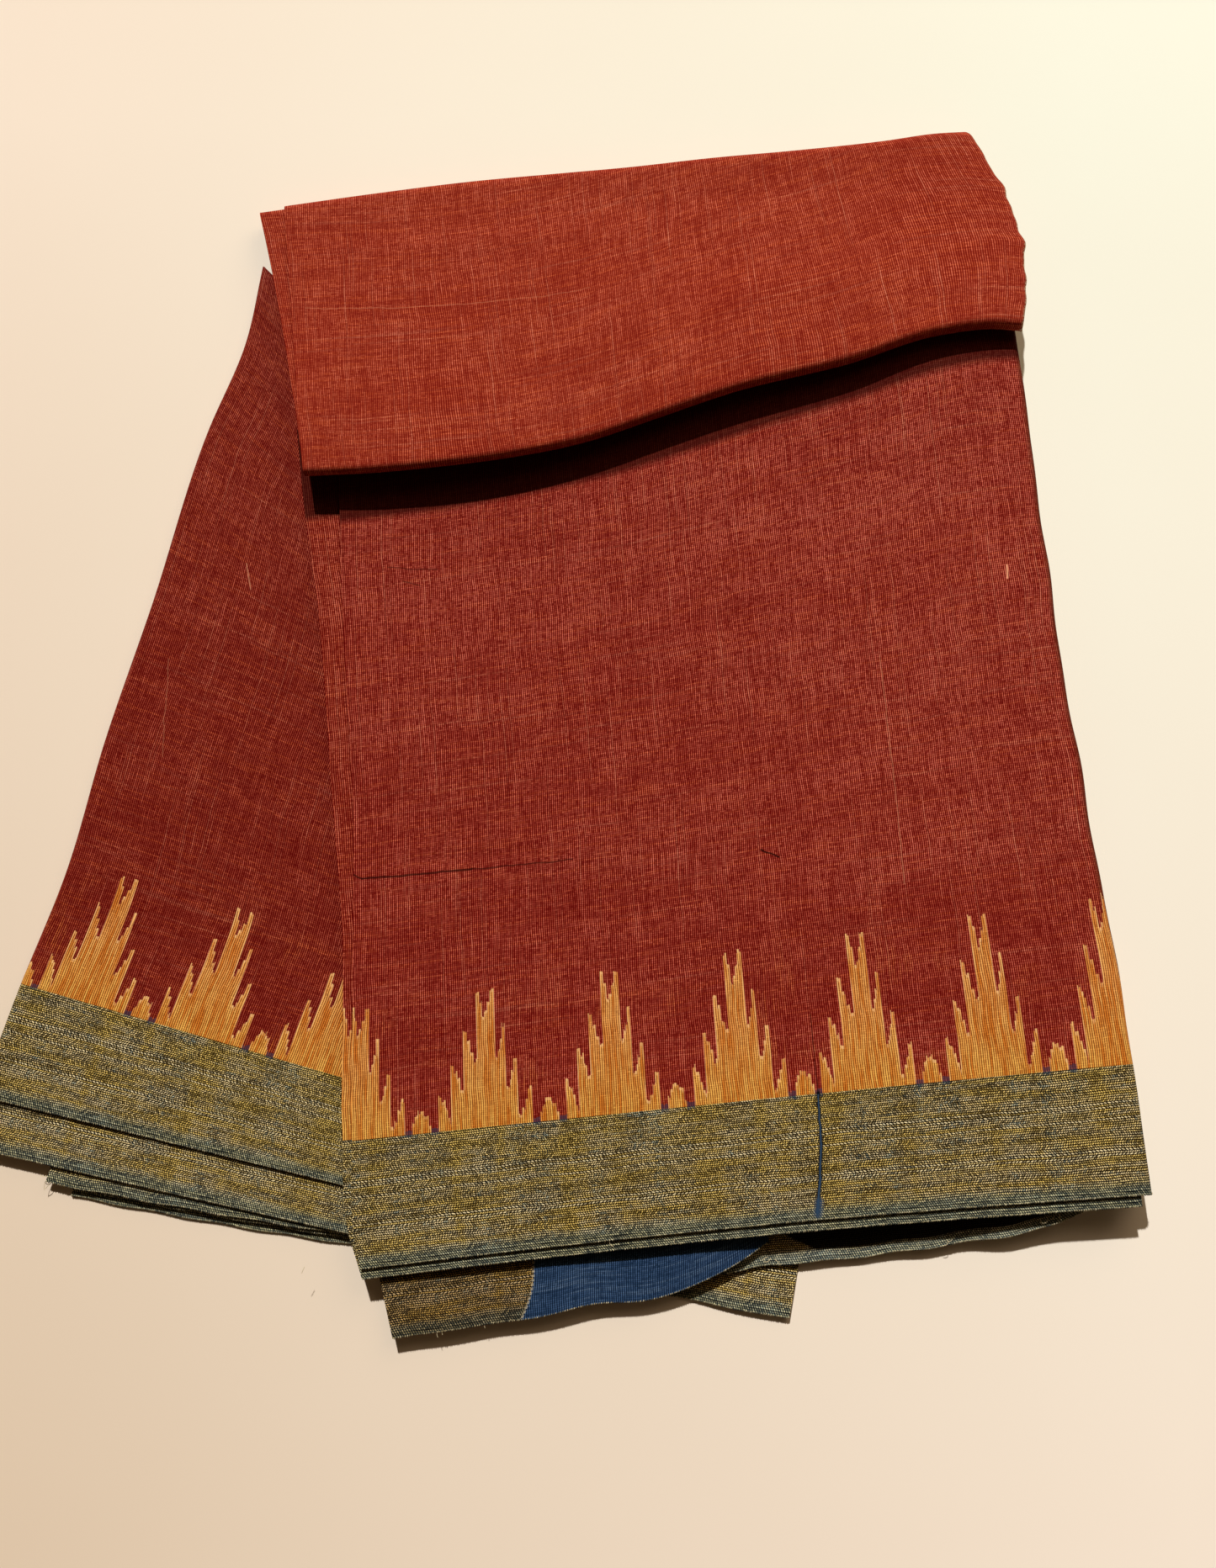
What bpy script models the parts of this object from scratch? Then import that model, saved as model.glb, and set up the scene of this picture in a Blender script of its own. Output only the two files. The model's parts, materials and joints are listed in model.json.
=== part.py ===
# A handwoven cotton sari, folded into a pad and folded once more across its width.
# It lies flat: a front leaf with a deep tuck near its top edge, over a back leaf that fans out to
# the left. Below the two leaves show the edges of the layers between them.
# The tables are in millimetres, x to the right, y away from the viewer and z up from the surface.
# Every stretch that shows is a wall of its own. The layers nobody sees share one layered solid.

import math

import bmesh
import bpy
import numpy as np

MM = 0.001

# The middle of the whole sari's box, in the tables' x and y: it becomes the origin.
CENTRE_X = -29.15
CENTRE_Y = 53.0

# The cloth
LAYER = 1.3
GAP = 0.3
PITCH = LAYER + GAP
SNUG = 0.25  # extra room between a wall and the hidden layers, whose facets differ from its own
CORE_DEPTH = 2 * PITCH + SNUG  # the hidden layers lie below two walls
LEAF_WIDTH = 393.0

# Heights of the layers' undersides, counted from the surface
EDGE_LEVELS = {"back_edge_lower": 0, "back_edge_middle": 1, "back_edge_upper": 2}
BACK_SECOND_LEVEL = 3
BACK_TOP_LEVEL = 4
BACK_CORE_TOP = BACK_SECOND_LEVEL * PITCH - GAP
SLOT_CEILING = (BACK_TOP_LEVEL + 1) * PITCH + 0.1

# Rounded fold edges
FOLD_RADIUS = 3.5
FOLD_TAIL = 1.5
FLAP_FOLD_RADIUS = 3.0
FOLD_STEPS = 3

# The hidden layers' sides: each visible layer bulges, with a groove between it and the next
GROOVE = 0.9
SIDE_INSET = 3.0
FOLD_INSET = 7.0
SLOT_DEPTH = 38.0
SOUTH_INSET = 36.0
SLOT_END = 0.83  # the share of the flap's slope where the slot for the back leaf stops
SLOT_END_STEP = 0.06
# Side rings of the hidden layers above that slot: share of the way down to it, and inset
UPPER_RINGS = (
    (0.0, 1.2),
    (0.12, 0.0),
    (0.33, GROOVE),
    (0.5, 0.0),
    (0.67, GROOVE),
    (0.84, 0.0),
    (1.0, GROOVE),
)
# Side rings below the slot: height and inset
LOWER_RINGS = ((8.0, 0.0), (6.0, GROOVE), (3.4, 0.0), (0.0, 0.0))
# The rounded step under the lip: distance in, and share of the rise to the flap
FACE_RINGS = ((0.0, 0.0), (1.0, 0.35), (3.0, 0.8), (8.0, 1.0))
# Where the lower edge of the hidden layers draws back, to clear the wavy layer on the right
NOTCH_START = 0.55
NOTCH_BLEND = 0.07

# The front leaf from its selvedge (along 0) to the end under the flap (along 1).
# second_x is where the layer below it sticks out on the left.
FRONT_COLUMNS = "along left_x left_y second_x right_x right_y z_left z_middle z_right"
FRONT_ROWS = (
    (0.00, -122, -245, -123, 270, -209, 13.0, 15.3, 17.0),
    (0.04, -126, -227, -129, 268.5, -189, 13.6, 15.6, 17.0),
    (0.14, -128, -183, -133, 265, -140, 15.0, 16.2, 17.0),
    (0.38, -131, -76, -137, 252, -21, 16.5, 17.2, 17.0),
    (0.52, -133, -14, -144, 244.5, 48, 17.0, 17.6, 17.0),
    (0.67, -139, 53, -151, 238.5, 122, 17.5, 18.0, 17.0),
    (0.78, -143, 102, -157, 235, 176, 17.8, 18.0, 17.0),
    (0.88, -146, 147, -165, 231.5, 226, 18.0, 18.0, 17.0),
    (1.00, -150, 200, -172, 227, 285, 18.0, 18.0, 17.0),
)
FRONT_STATIONS = (0.03, 0.08, 0.16, 0.26, 0.38, 0.5, 0.62, 0.72, 0.8, 0.86, 0.92, 0.998)
FRONT_ACROSS = 12
FRONT_CORE_STATIONS = (0.0, 0.05, 0.12, 0.24, 0.38, 0.52, 0.66, 0.78, 0.88, 0.95, 1.0)
FRONT_LENGTH = 445.0
SELVEDGE_BOW = 3.0
SECOND_REACH = 5.0  # how far the second layer's selvedge shows below the first
SECOND_END_INSET = 6.0

# The flap: across it, the plan of its lower lip and of its top edge, the height of the lip's
# crown and the thickness of the roll there.
FLAP_COLUMNS = "across lip_x lip_y top_x top_y crown roll"
FLAP_ROWS = (
    (0.00, -163, 163, -186, 337, 33.0, 7.0),
    (0.13, -118, 165, -135, 345, 34.5, 7.2),
    (0.28, -52, 173.4, -77, 353, 34.2, 7.5),
    (0.40, -10, 183.4, -28, 358, 33.0, 7.8),
    (0.50, 26, 196.6, 12, 362, 32.7, 8.0),
    (0.62, 72.5, 213.5, 60, 368, 32.4, 8.2),
    (0.75, 131, 229.6, 110, 373, 30.8, 8.5),
    (0.88, 182, 248.0, 160, 379, 28.8, 8.8),
    (0.96, 214.5, 252.8, 192, 384, 27.8, 8.8),
    (1.00, 230, 252, 209, 385, 27.0, 8.6),
)
FLAP_ACROSS = 14
TOP_EDGE_RADIUS = 8.0
WRAP_LOWEST = -60.0  # degrees below level, where the flap's end turns under the top edge
RETURN_DEPTH = 29.0
PANEL_DEPTH = 34.0
SECOND_RETURN_DEPTH = 14.0
RETURN_FALL = 2.5  # how far the cloth under the lip sinks on its way in
RETURN_FLOOR = 18.4
MOUTH_DEPTH = 36.0
RIGHT_BULGE = 13.5
UNDER_LAYER_REACH = 15.0
UNDER_LAYER_END_INSET = 8.0
WRAP_STEPS = 5
SLOPE_STEPS = 7
LIP_STEPS = 6

# The back leaf from its selvedge (along 0) to its end under the flap (along 1)
BACK_COLUMNS = "along left_x left_y right_x right_y"
BACK_ROWS = (
    (0.00, -321, -162, -103, -213),
    (0.11, -306, -111, -112, -165),
    (0.24, -286, -50, -115, -104),
    (0.40, -270, 23, -120, -31),
    (0.56, -250, 98, -129, 45),
    (0.78, -225, 200, -146, 142),
    (0.89, -207, 252, -152, 200),
    (1.00, -199, 302, -160, 262),
)
BACK_STATIONS = (0.04, 0.11, 0.24, 0.4, 0.56, 0.7, 0.82, 0.92, 1.0)
BACK_ACROSS = 7
BACK_LENGTH = 470.0
BACK_SECOND_REACH = 25.0
BACK_SECOND_END_INSET = 5.0
BACK_CORE_SOUTH = 42.0
BACK_CORE_NORTH = 6.0
BACK_CORE_OVERLAP = 34.0  # how far the hidden back layers run in under the front ones
# Side rings of the hidden back layers: height and inset
BACK_CORE_RINGS = (
    (BACK_CORE_TOP, 0.9),
    (3.9, 0.0),
    (3.0, GROOVE),
    (2.2, 0.0),
    (1.3, GROOVE),
    (0.0, 0.0),
)

# The thin selvedge edges below the back leaf: left end and right end of each one's lower edge
EDGE_COLUMNS = "left_x left_y right_x right_y"
EDGE_ROWS = {
    "back_edge_upper": (-284, -205, -104, -234),
    "back_edge_middle": (-276, -207, -104, -236),
    "back_edge_lower": (-272, -212, -104, -239),
}
EDGE_DEPTH = (9.2, 32.6)  # from the lower edge to the upper one, in x and y
EDGE_BOW = 1.2

# The lower edge of the tucked end that shows below the front leaf, left to right, and its top side
TUCKED_COLUMNS = "across low_x low_y high_x high_y"
TUCKED_ROWS = (
    (0.00, -106, -279, -119, -228),
    (0.14, -80, -274.5, -88, -225),
    (0.34, -43, -270, -46, -220),
    (0.50, -12, -263.5, -12, -217),
    (0.66, 18, -260.5, 18, -214),
    (0.80, 44, -253.5, 44, -212),
    (0.92, 64, -243, 64, -210),
    (1.00, 80, -233, 80, -208),
)
TUCKED_LEVEL = 4

# The lowest layer of the front leaf on the right, with its wavy selvedge, and the height of its
# underside, which climbs to the fold
LOWER_COLUMNS = "across low_x low_y high_x high_y under"
LOWER_ROWS = (
    (0.00, 44, -252, 52, -216, 2.4),
    (0.05, 57, -249, 62, -212, 2.4),
    (0.17, 82, -245, 86, -208, 2.6),
    (0.33, 117, -242, 119, -206, 2.8),
    (0.47, 149, -238, 150, -203, 3.2),
    (0.57, 171, -235, 171, -200, 3.9),
    (0.65, 189, -232, 188, -197, 5.0),
    (0.74, 208, -229, 207, -194, 6.6),
    (0.80, 220, -225, 219, -192, 8.2),
    (0.89, 240, -217, 238, -189, 10.6),
    (1.00, 263, -215, 260, -185, 12.1),
)

# The corner that lies on the surface under the tucked end, four corners in plan
CORNER_COLUMNS = "across low_x low_y high_x high_y"
CORNER_ROWS = (
    (0.00, 19, -258.5, 30, -216),
    (0.30, 39, -261, 50, -219),
    (0.65, 63, -266, 75, -222),
    (1.00, 90, -270, 100, -226),
)
CORNER_LIFT = 1.8

# Blocks of hidden layers below the tucked end and below the wavy layer
TUCKED_SUPPORT = {"left": -96.0, "right": 13.0, "inset": 7.0, "north": -195.0}
LOWER_SUPPORT = {"left": 106.0, "right": 257.0, "inset": 8.0, "north": -170.0}
LOWER_SUPPORT_GAP = 0.4
# Their side rings: share of the way down, and inset
SUPPORT_RINGS = ((0.0, 0.8), (0.25, 0.0), (0.6, GROOVE), (1.0, 0.0))

MAROON = (0.27, 0.035, 0.022, 1)
DEEP_MAROON = (0.16, 0.02, 0.014, 1)
OLIVE = (0.14, 0.13, 0.065, 1)
INDIGO = (0.02, 0.06, 0.16, 1)


def read_table(columns, rows):
    names = columns.split()
    return {name: np.array([row[i] for row in rows], float) for i, name in enumerate(names)}


FRONT = read_table(FRONT_COLUMNS, FRONT_ROWS)
FLAP = read_table(FLAP_COLUMNS, FLAP_ROWS)
BACK = read_table(BACK_COLUMNS, BACK_ROWS)
TUCKED = read_table(TUCKED_COLUMNS, TUCKED_ROWS)
LOWER = read_table(LOWER_COLUMNS, LOWER_ROWS)
CORNER = read_table(CORNER_COLUMNS, CORNER_ROWS)


def blend(a, b, t):
    return a + (b - a) * t


def within(t):
    return min(1.0, max(0.0, t))


def ease(t):
    t = within(t)
    return t * t * (3 - 2 * t)


def smooth(table, by, name, at):
    """Reads a column between its rows along a smooth curve, straight on past both ends."""
    xs = table[by]
    ys = table[name]
    slopes = np.gradient(ys, xs)
    if at <= xs[0]:
        return ys[0] + slopes[0] * (at - xs[0])
    if at >= xs[-1]:
        return ys[-1] + slopes[-1] * (at - xs[-1])
    i = int(np.searchsorted(xs, at, side="right")) - 1
    span = xs[i + 1] - xs[i]
    t = (at - xs[i]) / span
    return (
        (2 * t**3 - 3 * t**2 + 1) * ys[i]
        + (t**3 - 2 * t**2 + t) * span * slopes[i]
        + (3 * t**2 - 2 * t**3) * ys[i + 1]
        + (t**3 - t**2) * span * slopes[i + 1]
    )


def columns_at(table, by, names, at):
    return np.array([smooth(table, by, name, at) for name in names.split()])


def even(count):
    return [k / count for k in range(count + 1)]


def fold_edge(radius, tail):
    """(inset from the edge, drop) along a round fold, from the flat cloth down to the edge."""
    turns = [math.radians(90 * k / FOLD_STEPS) for k in range(1, FOLD_STEPS + 1)]
    line = [(radius * (1 - math.sin(turn)), radius * (1 - math.cos(turn))) for turn in turns]
    return line + [(0.0, radius + tail)] if tail else line


def fold_stations(count, radius, tail):
    """(share of the width, drop) across a sheet whose far edge turns down over a round fold."""
    flat = 1 - radius / LEAF_WIDTH
    stations = [(flat * share, 0.0) for share in even(count)]
    return stations + [(1 - inset / LEAF_WIDTH, drop) for inset, drop in fold_edge(radius, tail)]


def lip(across):
    return columns_at(FLAP, "across", "lip_x lip_y", across)


def top_edge(across):
    return columns_at(FLAP, "across", "top_x top_y", across)


def mouth_end(across, depth):
    """The plan point this far in under the flap from its lip."""
    run = top_edge(across) - lip(across)
    return lip(across) + run / np.linalg.norm(run) * depth


def front_height(across, along):
    left, middle, right = columns_at(FRONT, "along", "z_left z_middle z_right", within(along))
    if across < 0.5:
        return blend(left, middle, ease(across * 2))
    return blend(middle, right, ease(across * 2 - 1))


def front_plan(across, along, left_column="left_x"):
    left = columns_at(FRONT, "along", left_column + " left_y", along)
    right = columns_at(FRONT, "along", "right_x right_y", along)
    point = blend(left, right, across)
    point[1] += SELVEDGE_BOW * math.sin(math.pi * within(across)) * max(0.0, 1 - 6 * along)
    straight = blend(FRONT["left_y"][-1], FRONT["right_y"][-1], across)
    point[1] += max(0.0, along) ** 3 * (mouth_end(across, PANEL_DEPTH)[1] - straight)
    return point


def back_plan(across, along):
    left = columns_at(BACK, "along", "left_x left_y", along)
    right = columns_at(BACK, "along", "right_x right_y", along)
    return blend(left, right, across)


def back_width(along):
    return np.linalg.norm(back_plan(1.0, along) - back_plan(0.0, along))


def strip_plan(table, across, along):
    low = columns_at(table, "across", "low_x low_y", across)
    high = columns_at(table, "across", "high_x high_y", across)
    return blend(low, high, along)


def flap_length(across):
    return np.linalg.norm(top_edge(across) - lip(across))


def flap_profile(across, return_depth):
    """The cloth's outer line in one section of the flap, as (distance south of the top edge, z)."""
    run = flap_length(across)
    crown = smooth(FLAP, "across", "crown", across)
    half = smooth(FLAP, "across", "roll", across) / 2
    fall = min(RETURN_FALL, crown - 2 * half - RETURN_FLOOR) * return_depth / RETURN_DEPTH
    line = [(run - half - return_depth, crown - 2 * half - fall)]
    for k in range(LIP_STEPS + 1):
        turn = math.radians(-90 + 180 * k / LIP_STEPS)
        line.append((run - half + half * math.cos(turn), crown - half + half * math.sin(turn)))
    edge_height = 2 * TOP_EDGE_RADIUS
    for k in range(1, SLOPE_STEPS):
        share = 1 - k / SLOPE_STEPS
        rise = blend(share, ease(share), 0.5)
        line.append((blend(TOP_EDGE_RADIUS, run - half, share), blend(edge_height, crown, rise)))
    for k in range(WRAP_STEPS + 1):
        turn = math.radians(blend(90, WRAP_LOWEST, k / WRAP_STEPS))
        away = TOP_EDGE_RADIUS * (1 - math.cos(turn))
        line.append((away, TOP_EDGE_RADIUS * (1 + math.sin(turn))))
    return np.array(line)


def moved_in(line, distance):
    """A copy of the line, moved this far towards the inside of the flap."""
    before = np.diff(line, axis=0)
    before /= np.linalg.norm(before, axis=1)[:, None]
    tangents = np.vstack([before[:1], before[:-1] + before[1:], before[-1:]])
    lengths = np.linalg.norm(tangents, axis=1)
    tangents /= lengths[:, None]
    miter = np.ones(len(line))
    miter[1:-1] = 2 / lengths[1:-1]
    inward = np.stack([-tangents[:, 1], tangents[:, 0]], axis=1)
    return line + inward * (distance * miter)[:, None]


def flap_bulge(across, share):
    """How far the flap's right end swells beyond a straight line from its lip to its top edge."""
    return RIGHT_BULGE * math.sin(math.pi * within(share)) * ease((across - 0.8) / 0.2)


def flap_plan(across, share):
    """The plan point this share of the way from the top edge to the lip."""
    top = top_edge(across)
    point = top + (lip(across) - top) * share
    point[0] += flap_bulge(across, share)
    return point


def reached(across, share, reach):
    """The place across the flap, stretched to the left for a layer that sticks out there."""
    out = reach * (1 - within(share)) ** 1.3
    return across - out / LEAF_WIDTH * (1 - across)


def new_material(name, colour):
    material = bpy.data.materials.new(name)
    material.use_nodes = True
    shader = material.node_tree.nodes["Principled BSDF"]
    shader.inputs["Base Color"].default_value = colour
    shader.inputs["Roughness"].default_value = 0.9
    shader.inputs["Metallic"].default_value = 0.0
    return material


def new_object(name, bm, collection, colour):
    mesh = bpy.data.meshes.new(name)
    bm.to_mesh(mesh)
    bm.free()
    obj = bpy.data.objects.new(name, mesh)
    obj.data.materials.append(new_material(name + "_cloth", colour))
    collection.objects.link(obj)
    return obj


def to_metres(point):
    return ((point[0] - CENTRE_X) * MM, (point[1] - CENTRE_Y) * MM, point[2] * MM)


def sheet(name, columns, rows, place, collection, colour):
    """A wall of cloth. place(column, row) gives the outer side's point for each station."""
    bm = bmesh.new()
    bmesh.ops.create_grid(bm, x_segments=columns, y_segments=rows, size=0.5)
    for vert in bm.verts:
        column = round((vert.co.x + 0.5) * columns)
        row = round((vert.co.y + 0.5) * rows)
        vert.co = to_metres(place(column, row))
    obj = new_object(name, bm, collection, colour)
    wall = obj.modifiers.new("wall", "SOLIDIFY")
    wall.thickness = LAYER * MM
    wall.offset = -1
    return obj


def layered_block(name, columns, rows, place, rings, collection, colour):
    """A solid whose top is a grid and whose sides go down ring by ring to a flat underside.

    place(across, along, ring) gives the point of each ring, and ring 0 is the top side."""
    bm = bmesh.new()
    bmesh.ops.create_grid(bm, x_segments=columns, y_segments=rows, size=0.5)
    across = bm.verts.layers.float.new("across")
    along = bm.verts.layers.float.new("along")
    for vert in bm.verts:
        vert[across] = round((vert.co.x + 0.5) * columns)
        vert[along] = round((vert.co.y + 0.5) * rows)
        vert.co = to_metres(place(vert[across] / columns, round(vert[along]), 0))
    rim = [edge for edge in bm.edges if edge.is_boundary]
    for ring in range(1, rings):
        made = bmesh.ops.extrude_edge_only(bm, edges=rim)["geom"]
        for item in made:
            if isinstance(item, bmesh.types.BMVert):
                item.co = to_metres(place(item[across] / columns, round(item[along]), ring))
        rim = [item for item in made if isinstance(item, bmesh.types.BMEdge) and item.is_boundary]
    bmesh.ops.edgeloop_fill(bm, edges=rim)
    bmesh.ops.recalc_face_normals(bm, faces=bm.faces)
    return new_object(name, bm, collection, colour)


def front_sheet(name, depth, left_column, reach, end_inset, collection, colour):
    """One layer of the front leaf, this deep below its top side."""
    if end_inset:
        stations = [(share * (1 - end_inset / LEAF_WIDTH), 0.0) for share in even(FRONT_ACROSS)]
    else:
        stations = fold_stations(FRONT_ACROSS, FOLD_RADIUS, FOLD_TAIL)
    alongs = (-reach / FRONT_LENGTH,) + FRONT_STATIONS

    def place(column, row):
        across, drop = stations[column]
        along = alongs[row]
        x, y = front_plan(across, along, left_column)
        return x, y, front_height(across, along) - depth - drop

    return sheet(name, len(stations) - 1, len(alongs) - 1, place, collection, colour)


def flap_sheet(name, depth, reach, end_inset, return_depth, collection, colour):
    """One layer of the flap, this deep below its outer side, with its end turned under the lip."""
    stations = fold_stations(FLAP_ACROSS, FLAP_FOLD_RADIUS, 0)
    if end_inset:
        stations = stations[:FLAP_ACROSS] + [(1 - end_inset / LEAF_WIDTH, 0.0)]
    rows = len(flap_profile(0.0, return_depth)) - 1

    def place(column, row):
        across, drop = stations[column]
        south = moved_in(flap_profile(across, return_depth), depth)[row][0]
        across = reached(across, south / flap_length(across), reach)
        south, z = moved_in(flap_profile(across, return_depth), depth)[row]
        x, y = flap_plan(across, south / flap_length(across))
        crown, roll = columns_at(FLAP, "across", "crown roll", across)
        around_lip = row <= LIP_STEPS + 1
        part = within((z - crown + roll) / roll) if around_lip else 1.0
        wrap = within(z / (2 * TOP_EDGE_RADIUS))
        return x, y, z - drop * part * wrap

    return sheet(name, len(stations) - 1, rows, place, collection, colour)


def back_sheet(name, level, reach, end_inset, collection, colour):
    """One layer of the back leaf. A layer that reaches out below keeps its full width there."""
    fold = [] if end_inset else fold_edge(FOLD_RADIUS, FOLD_TAIL)[::-1]
    flat_inset = end_inset or FOLD_RADIUS
    shares = even(BACK_ACROSS)
    alongs = ((-reach / BACK_LENGTH, -0.01) if reach else (0.0,)) + BACK_STATIONS

    def place(column, row):
        along = alongs[row]
        width = back_width(along)
        if column < len(fold):
            inset, drop = fold[column]
        else:
            start = 0.0 if reach and row == 0 else flat_inset
            inset, drop = blend(start, width, shares[column - len(fold)]), 0.0
        x, y = back_plan(inset / width, along)
        return x, y, level * PITCH + LAYER - drop

    return sheet(name, len(fold) + len(shares) - 1, len(alongs) - 1, place, collection, colour)


def edge_strip(name, collection, colour):
    edge = dict(zip(EDGE_COLUMNS.split(), EDGE_ROWS[name]))
    columns = 6

    def place(column, row):
        share = column / columns
        x = blend(edge["left_x"], edge["right_x"], share)
        y = blend(edge["left_y"], edge["right_y"], share) - EDGE_BOW * math.sin(math.pi * share)
        x += EDGE_DEPTH[0] * (1 - share) * row / 2
        y += EDGE_DEPTH[1] * row / 2
        return x, y, EDGE_LEVELS[name] * PITCH + LAYER

    return sheet(name, columns, 2, place, collection, colour)


def tucked_end(collection):
    columns = 14

    def place(column, row):
        x, y = strip_plan(TUCKED, column / columns, row / 3)
        return x, y, TUCKED_LEVEL * PITCH + LAYER

    return sheet("tucked_end", columns, 3, place, collection, INDIGO)


def lower_layer(collection):
    columns = 24

    def place(column, row):
        x, y = strip_plan(LOWER, column / columns, row / 3)
        return x, y, smooth(LOWER, "across", "under", column / columns) + LAYER

    return sheet("front_lower_layer", columns, 3, place, collection, OLIVE)


def under_corner(collection):
    columns = 6

    def place(column, row):
        across = column / columns
        x, y = strip_plan(CORNER, across, row / 4)
        lift = CORNER_LIFT * ease(across) * max(0.0, 1 - row / 2)
        return x, y, LAYER + lift

    return sheet("under_corner", columns, 4, place, collection, OLIVE)


def front_core(collection):
    """The hidden layers of the front leaf: flat under the panel, then rising inside the flap."""
    columns = 16
    slope_shares = (0.2, 0.4, 0.6, SLOT_END, SLOT_END + SLOT_END_STEP, 1.0)
    panel_count = len(FRONT_CORE_STATIONS)
    rows = panel_count + len(FACE_RINGS) + len(slope_shares) - 2
    arc = TOP_EDGE_RADIUS - CORE_DEPTH

    def upper_south(across):
        return blend(SECOND_REACH + 1.0, SOUTH_INSET, ease((across - NOTCH_START) / NOTCH_BLEND))

    def side_insets(across, row, ring):
        """left, right and south insets of this ring, and its inset from the top edge"""
        if ring < len(UPPER_RINGS):
            share, groove = UPPER_RINGS[ring]
            north = TOP_EDGE_RADIUS - arc * math.sqrt(max(0.0, 1 - (1 - share) ** 2))
            south = upper_south(across) + groove
            return SIDE_INSET + groove, FOLD_INSET + groove, south, north
        z, groove = LOWER_RINGS[ring - len(UPPER_RINGS)]
        below = min(arc, abs(TOP_EDGE_RADIUS - z))
        north = TOP_EDGE_RADIUS - math.sqrt(max(0.0, arc**2 - below**2))
        left = SLOT_DEPTH if row < rows - 1 else SIDE_INSET
        return left + groove, FOLD_INSET + groove, SOUTH_INSET + 2 + groove, north

    def top_height(across, row, north):
        if row < panel_count:
            return front_height(across, FRONT_CORE_STATIONS[row]) - CORE_DEPTH
        line = moved_in(flap_profile(across, RETURN_DEPTH), CORE_DEPTH)
        south = flap_length(across) - flap_run(across, row, north)
        slope = line[:LIP_STEPS:-1][WRAP_STEPS:]
        flap_z = float(np.interp(south, slope[:, 0], slope[:, 1]))
        k = row - panel_count + 1
        if k < len(FACE_RINGS):
            return blend(front_height(across, 1.0) - CORE_DEPTH, flap_z, FACE_RINGS[k][1])
        return flap_z

    def flap_run(across, row, north):
        """Distance north of the lip for a row of the flap part."""
        k = row - panel_count + 1
        if k < len(FACE_RINGS):
            return MOUTH_DEPTH + FACE_RINGS[k][0]
        share = slope_shares[k - len(FACE_RINGS)]
        return blend(MOUTH_DEPTH + FACE_RINGS[-1][0], flap_length(across) - north, share)

    def place(across, row, ring):
        left, right, south, north = side_insets(across, row, ring)
        inner = blend(left / LEAF_WIDTH, 1 - right / LEAF_WIDTH, across)
        if row < panel_count:
            along = blend(south / FRONT_LENGTH, 1.0, FRONT_CORE_STATIONS[row])
            x, y = front_plan(inner, along, "second_x")
            y += (MOUTH_DEPTH - PANEL_DEPTH) * FRONT_CORE_STATIONS[row] ** 3
            top = front_height(across, along) - CORE_DEPTH
        else:
            share = 1 - flap_run(inner, row, north) / flap_length(inner)
            inner = reached(inner, share, UNDER_LAYER_REACH)
            x, y = flap_plan(inner, 1 - flap_run(inner, row, north) / flap_length(inner))
            top = top_height(inner, row, north)
        if ring == 0:
            return x, y, top
        if ring < len(UPPER_RINGS):
            return x, y, blend(top, SLOT_CEILING, UPPER_RINGS[ring][0])
        return x, y, LOWER_RINGS[ring - len(UPPER_RINGS)][0]

    rings = len(UPPER_RINGS) + len(LOWER_RINGS)
    return layered_block("hidden_layers", columns, rows, place, rings, collection, DEEP_MAROON)


def back_core(collection):
    """The hidden layers of the back leaf, as deep as the slot below its two top layers."""
    columns = 6
    rows = 6

    def place(across, row, ring):
        z, inset = BACK_CORE_RINGS[ring]
        south = (BACK_CORE_SOUTH + inset) / BACK_LENGTH
        north = 1 - (BACK_CORE_NORTH + inset) / BACK_LENGTH
        along = blend(south, north, row / rows)
        left = back_plan((FOLD_INSET + inset) / back_width(along), along)
        far = back_plan(1.0, along) + np.array([BACK_CORE_OVERLAP, 0.0])
        x, y = blend(left, far, across)
        return x, y, z

    rings = len(BACK_CORE_RINGS)
    return layered_block("back_hidden_layers", columns, rows, place, rings, collection, DEEP_MAROON)


def support(name, table, edges, top, collection):
    """Hidden layers below a strip of cloth that sticks out: a block set back from its lower edge."""
    columns = 8
    rows = 2

    def place(across, row, ring):
        share, inset = SUPPORT_RINGS[ring]
        x = blend(edges["left"] + inset, edges["right"] - inset, across)
        at = float(np.interp(x, table["low_x"], table["across"]))
        low = strip_plan(table, at, 0.0)[1] + edges["inset"] + inset
        y = blend(low, edges["north"], row / rows)
        return x, y, blend(top(at), 0.0, share)

    return layered_block(name, columns, rows, place, len(SUPPORT_RINGS), collection, DEEP_MAROON)


def hide_as_tool(obj):
    obj.hide_render = True
    obj.display_type = "WIRE"


def hidden_layers(parts, tools):
    """One solid for all the layers that nobody sees."""

    def below_tucked(at):
        return TUCKED_LEVEL * PITCH - GAP

    def below_lower(at):
        return smooth(LOWER, "across", "under", at) - LOWER_SUPPORT_GAP

    core = front_core(parts)
    pieces = (
        back_core(tools),
        support("tucked_support", TUCKED, TUCKED_SUPPORT, below_tucked, tools),
        support("lower_support", LOWER, LOWER_SUPPORT, below_lower, tools),
    )
    for piece in pieces:
        hide_as_tool(piece)
        join = core.modifiers.new(piece.name, "BOOLEAN")
        join.operation = "UNION"
        join.solver = "EXACT"
        join.object = piece
    return core


def new_collection(name):
    collection = bpy.data.collections.new(name)
    bpy.context.scene.collection.children.link(collection)
    return collection


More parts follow.
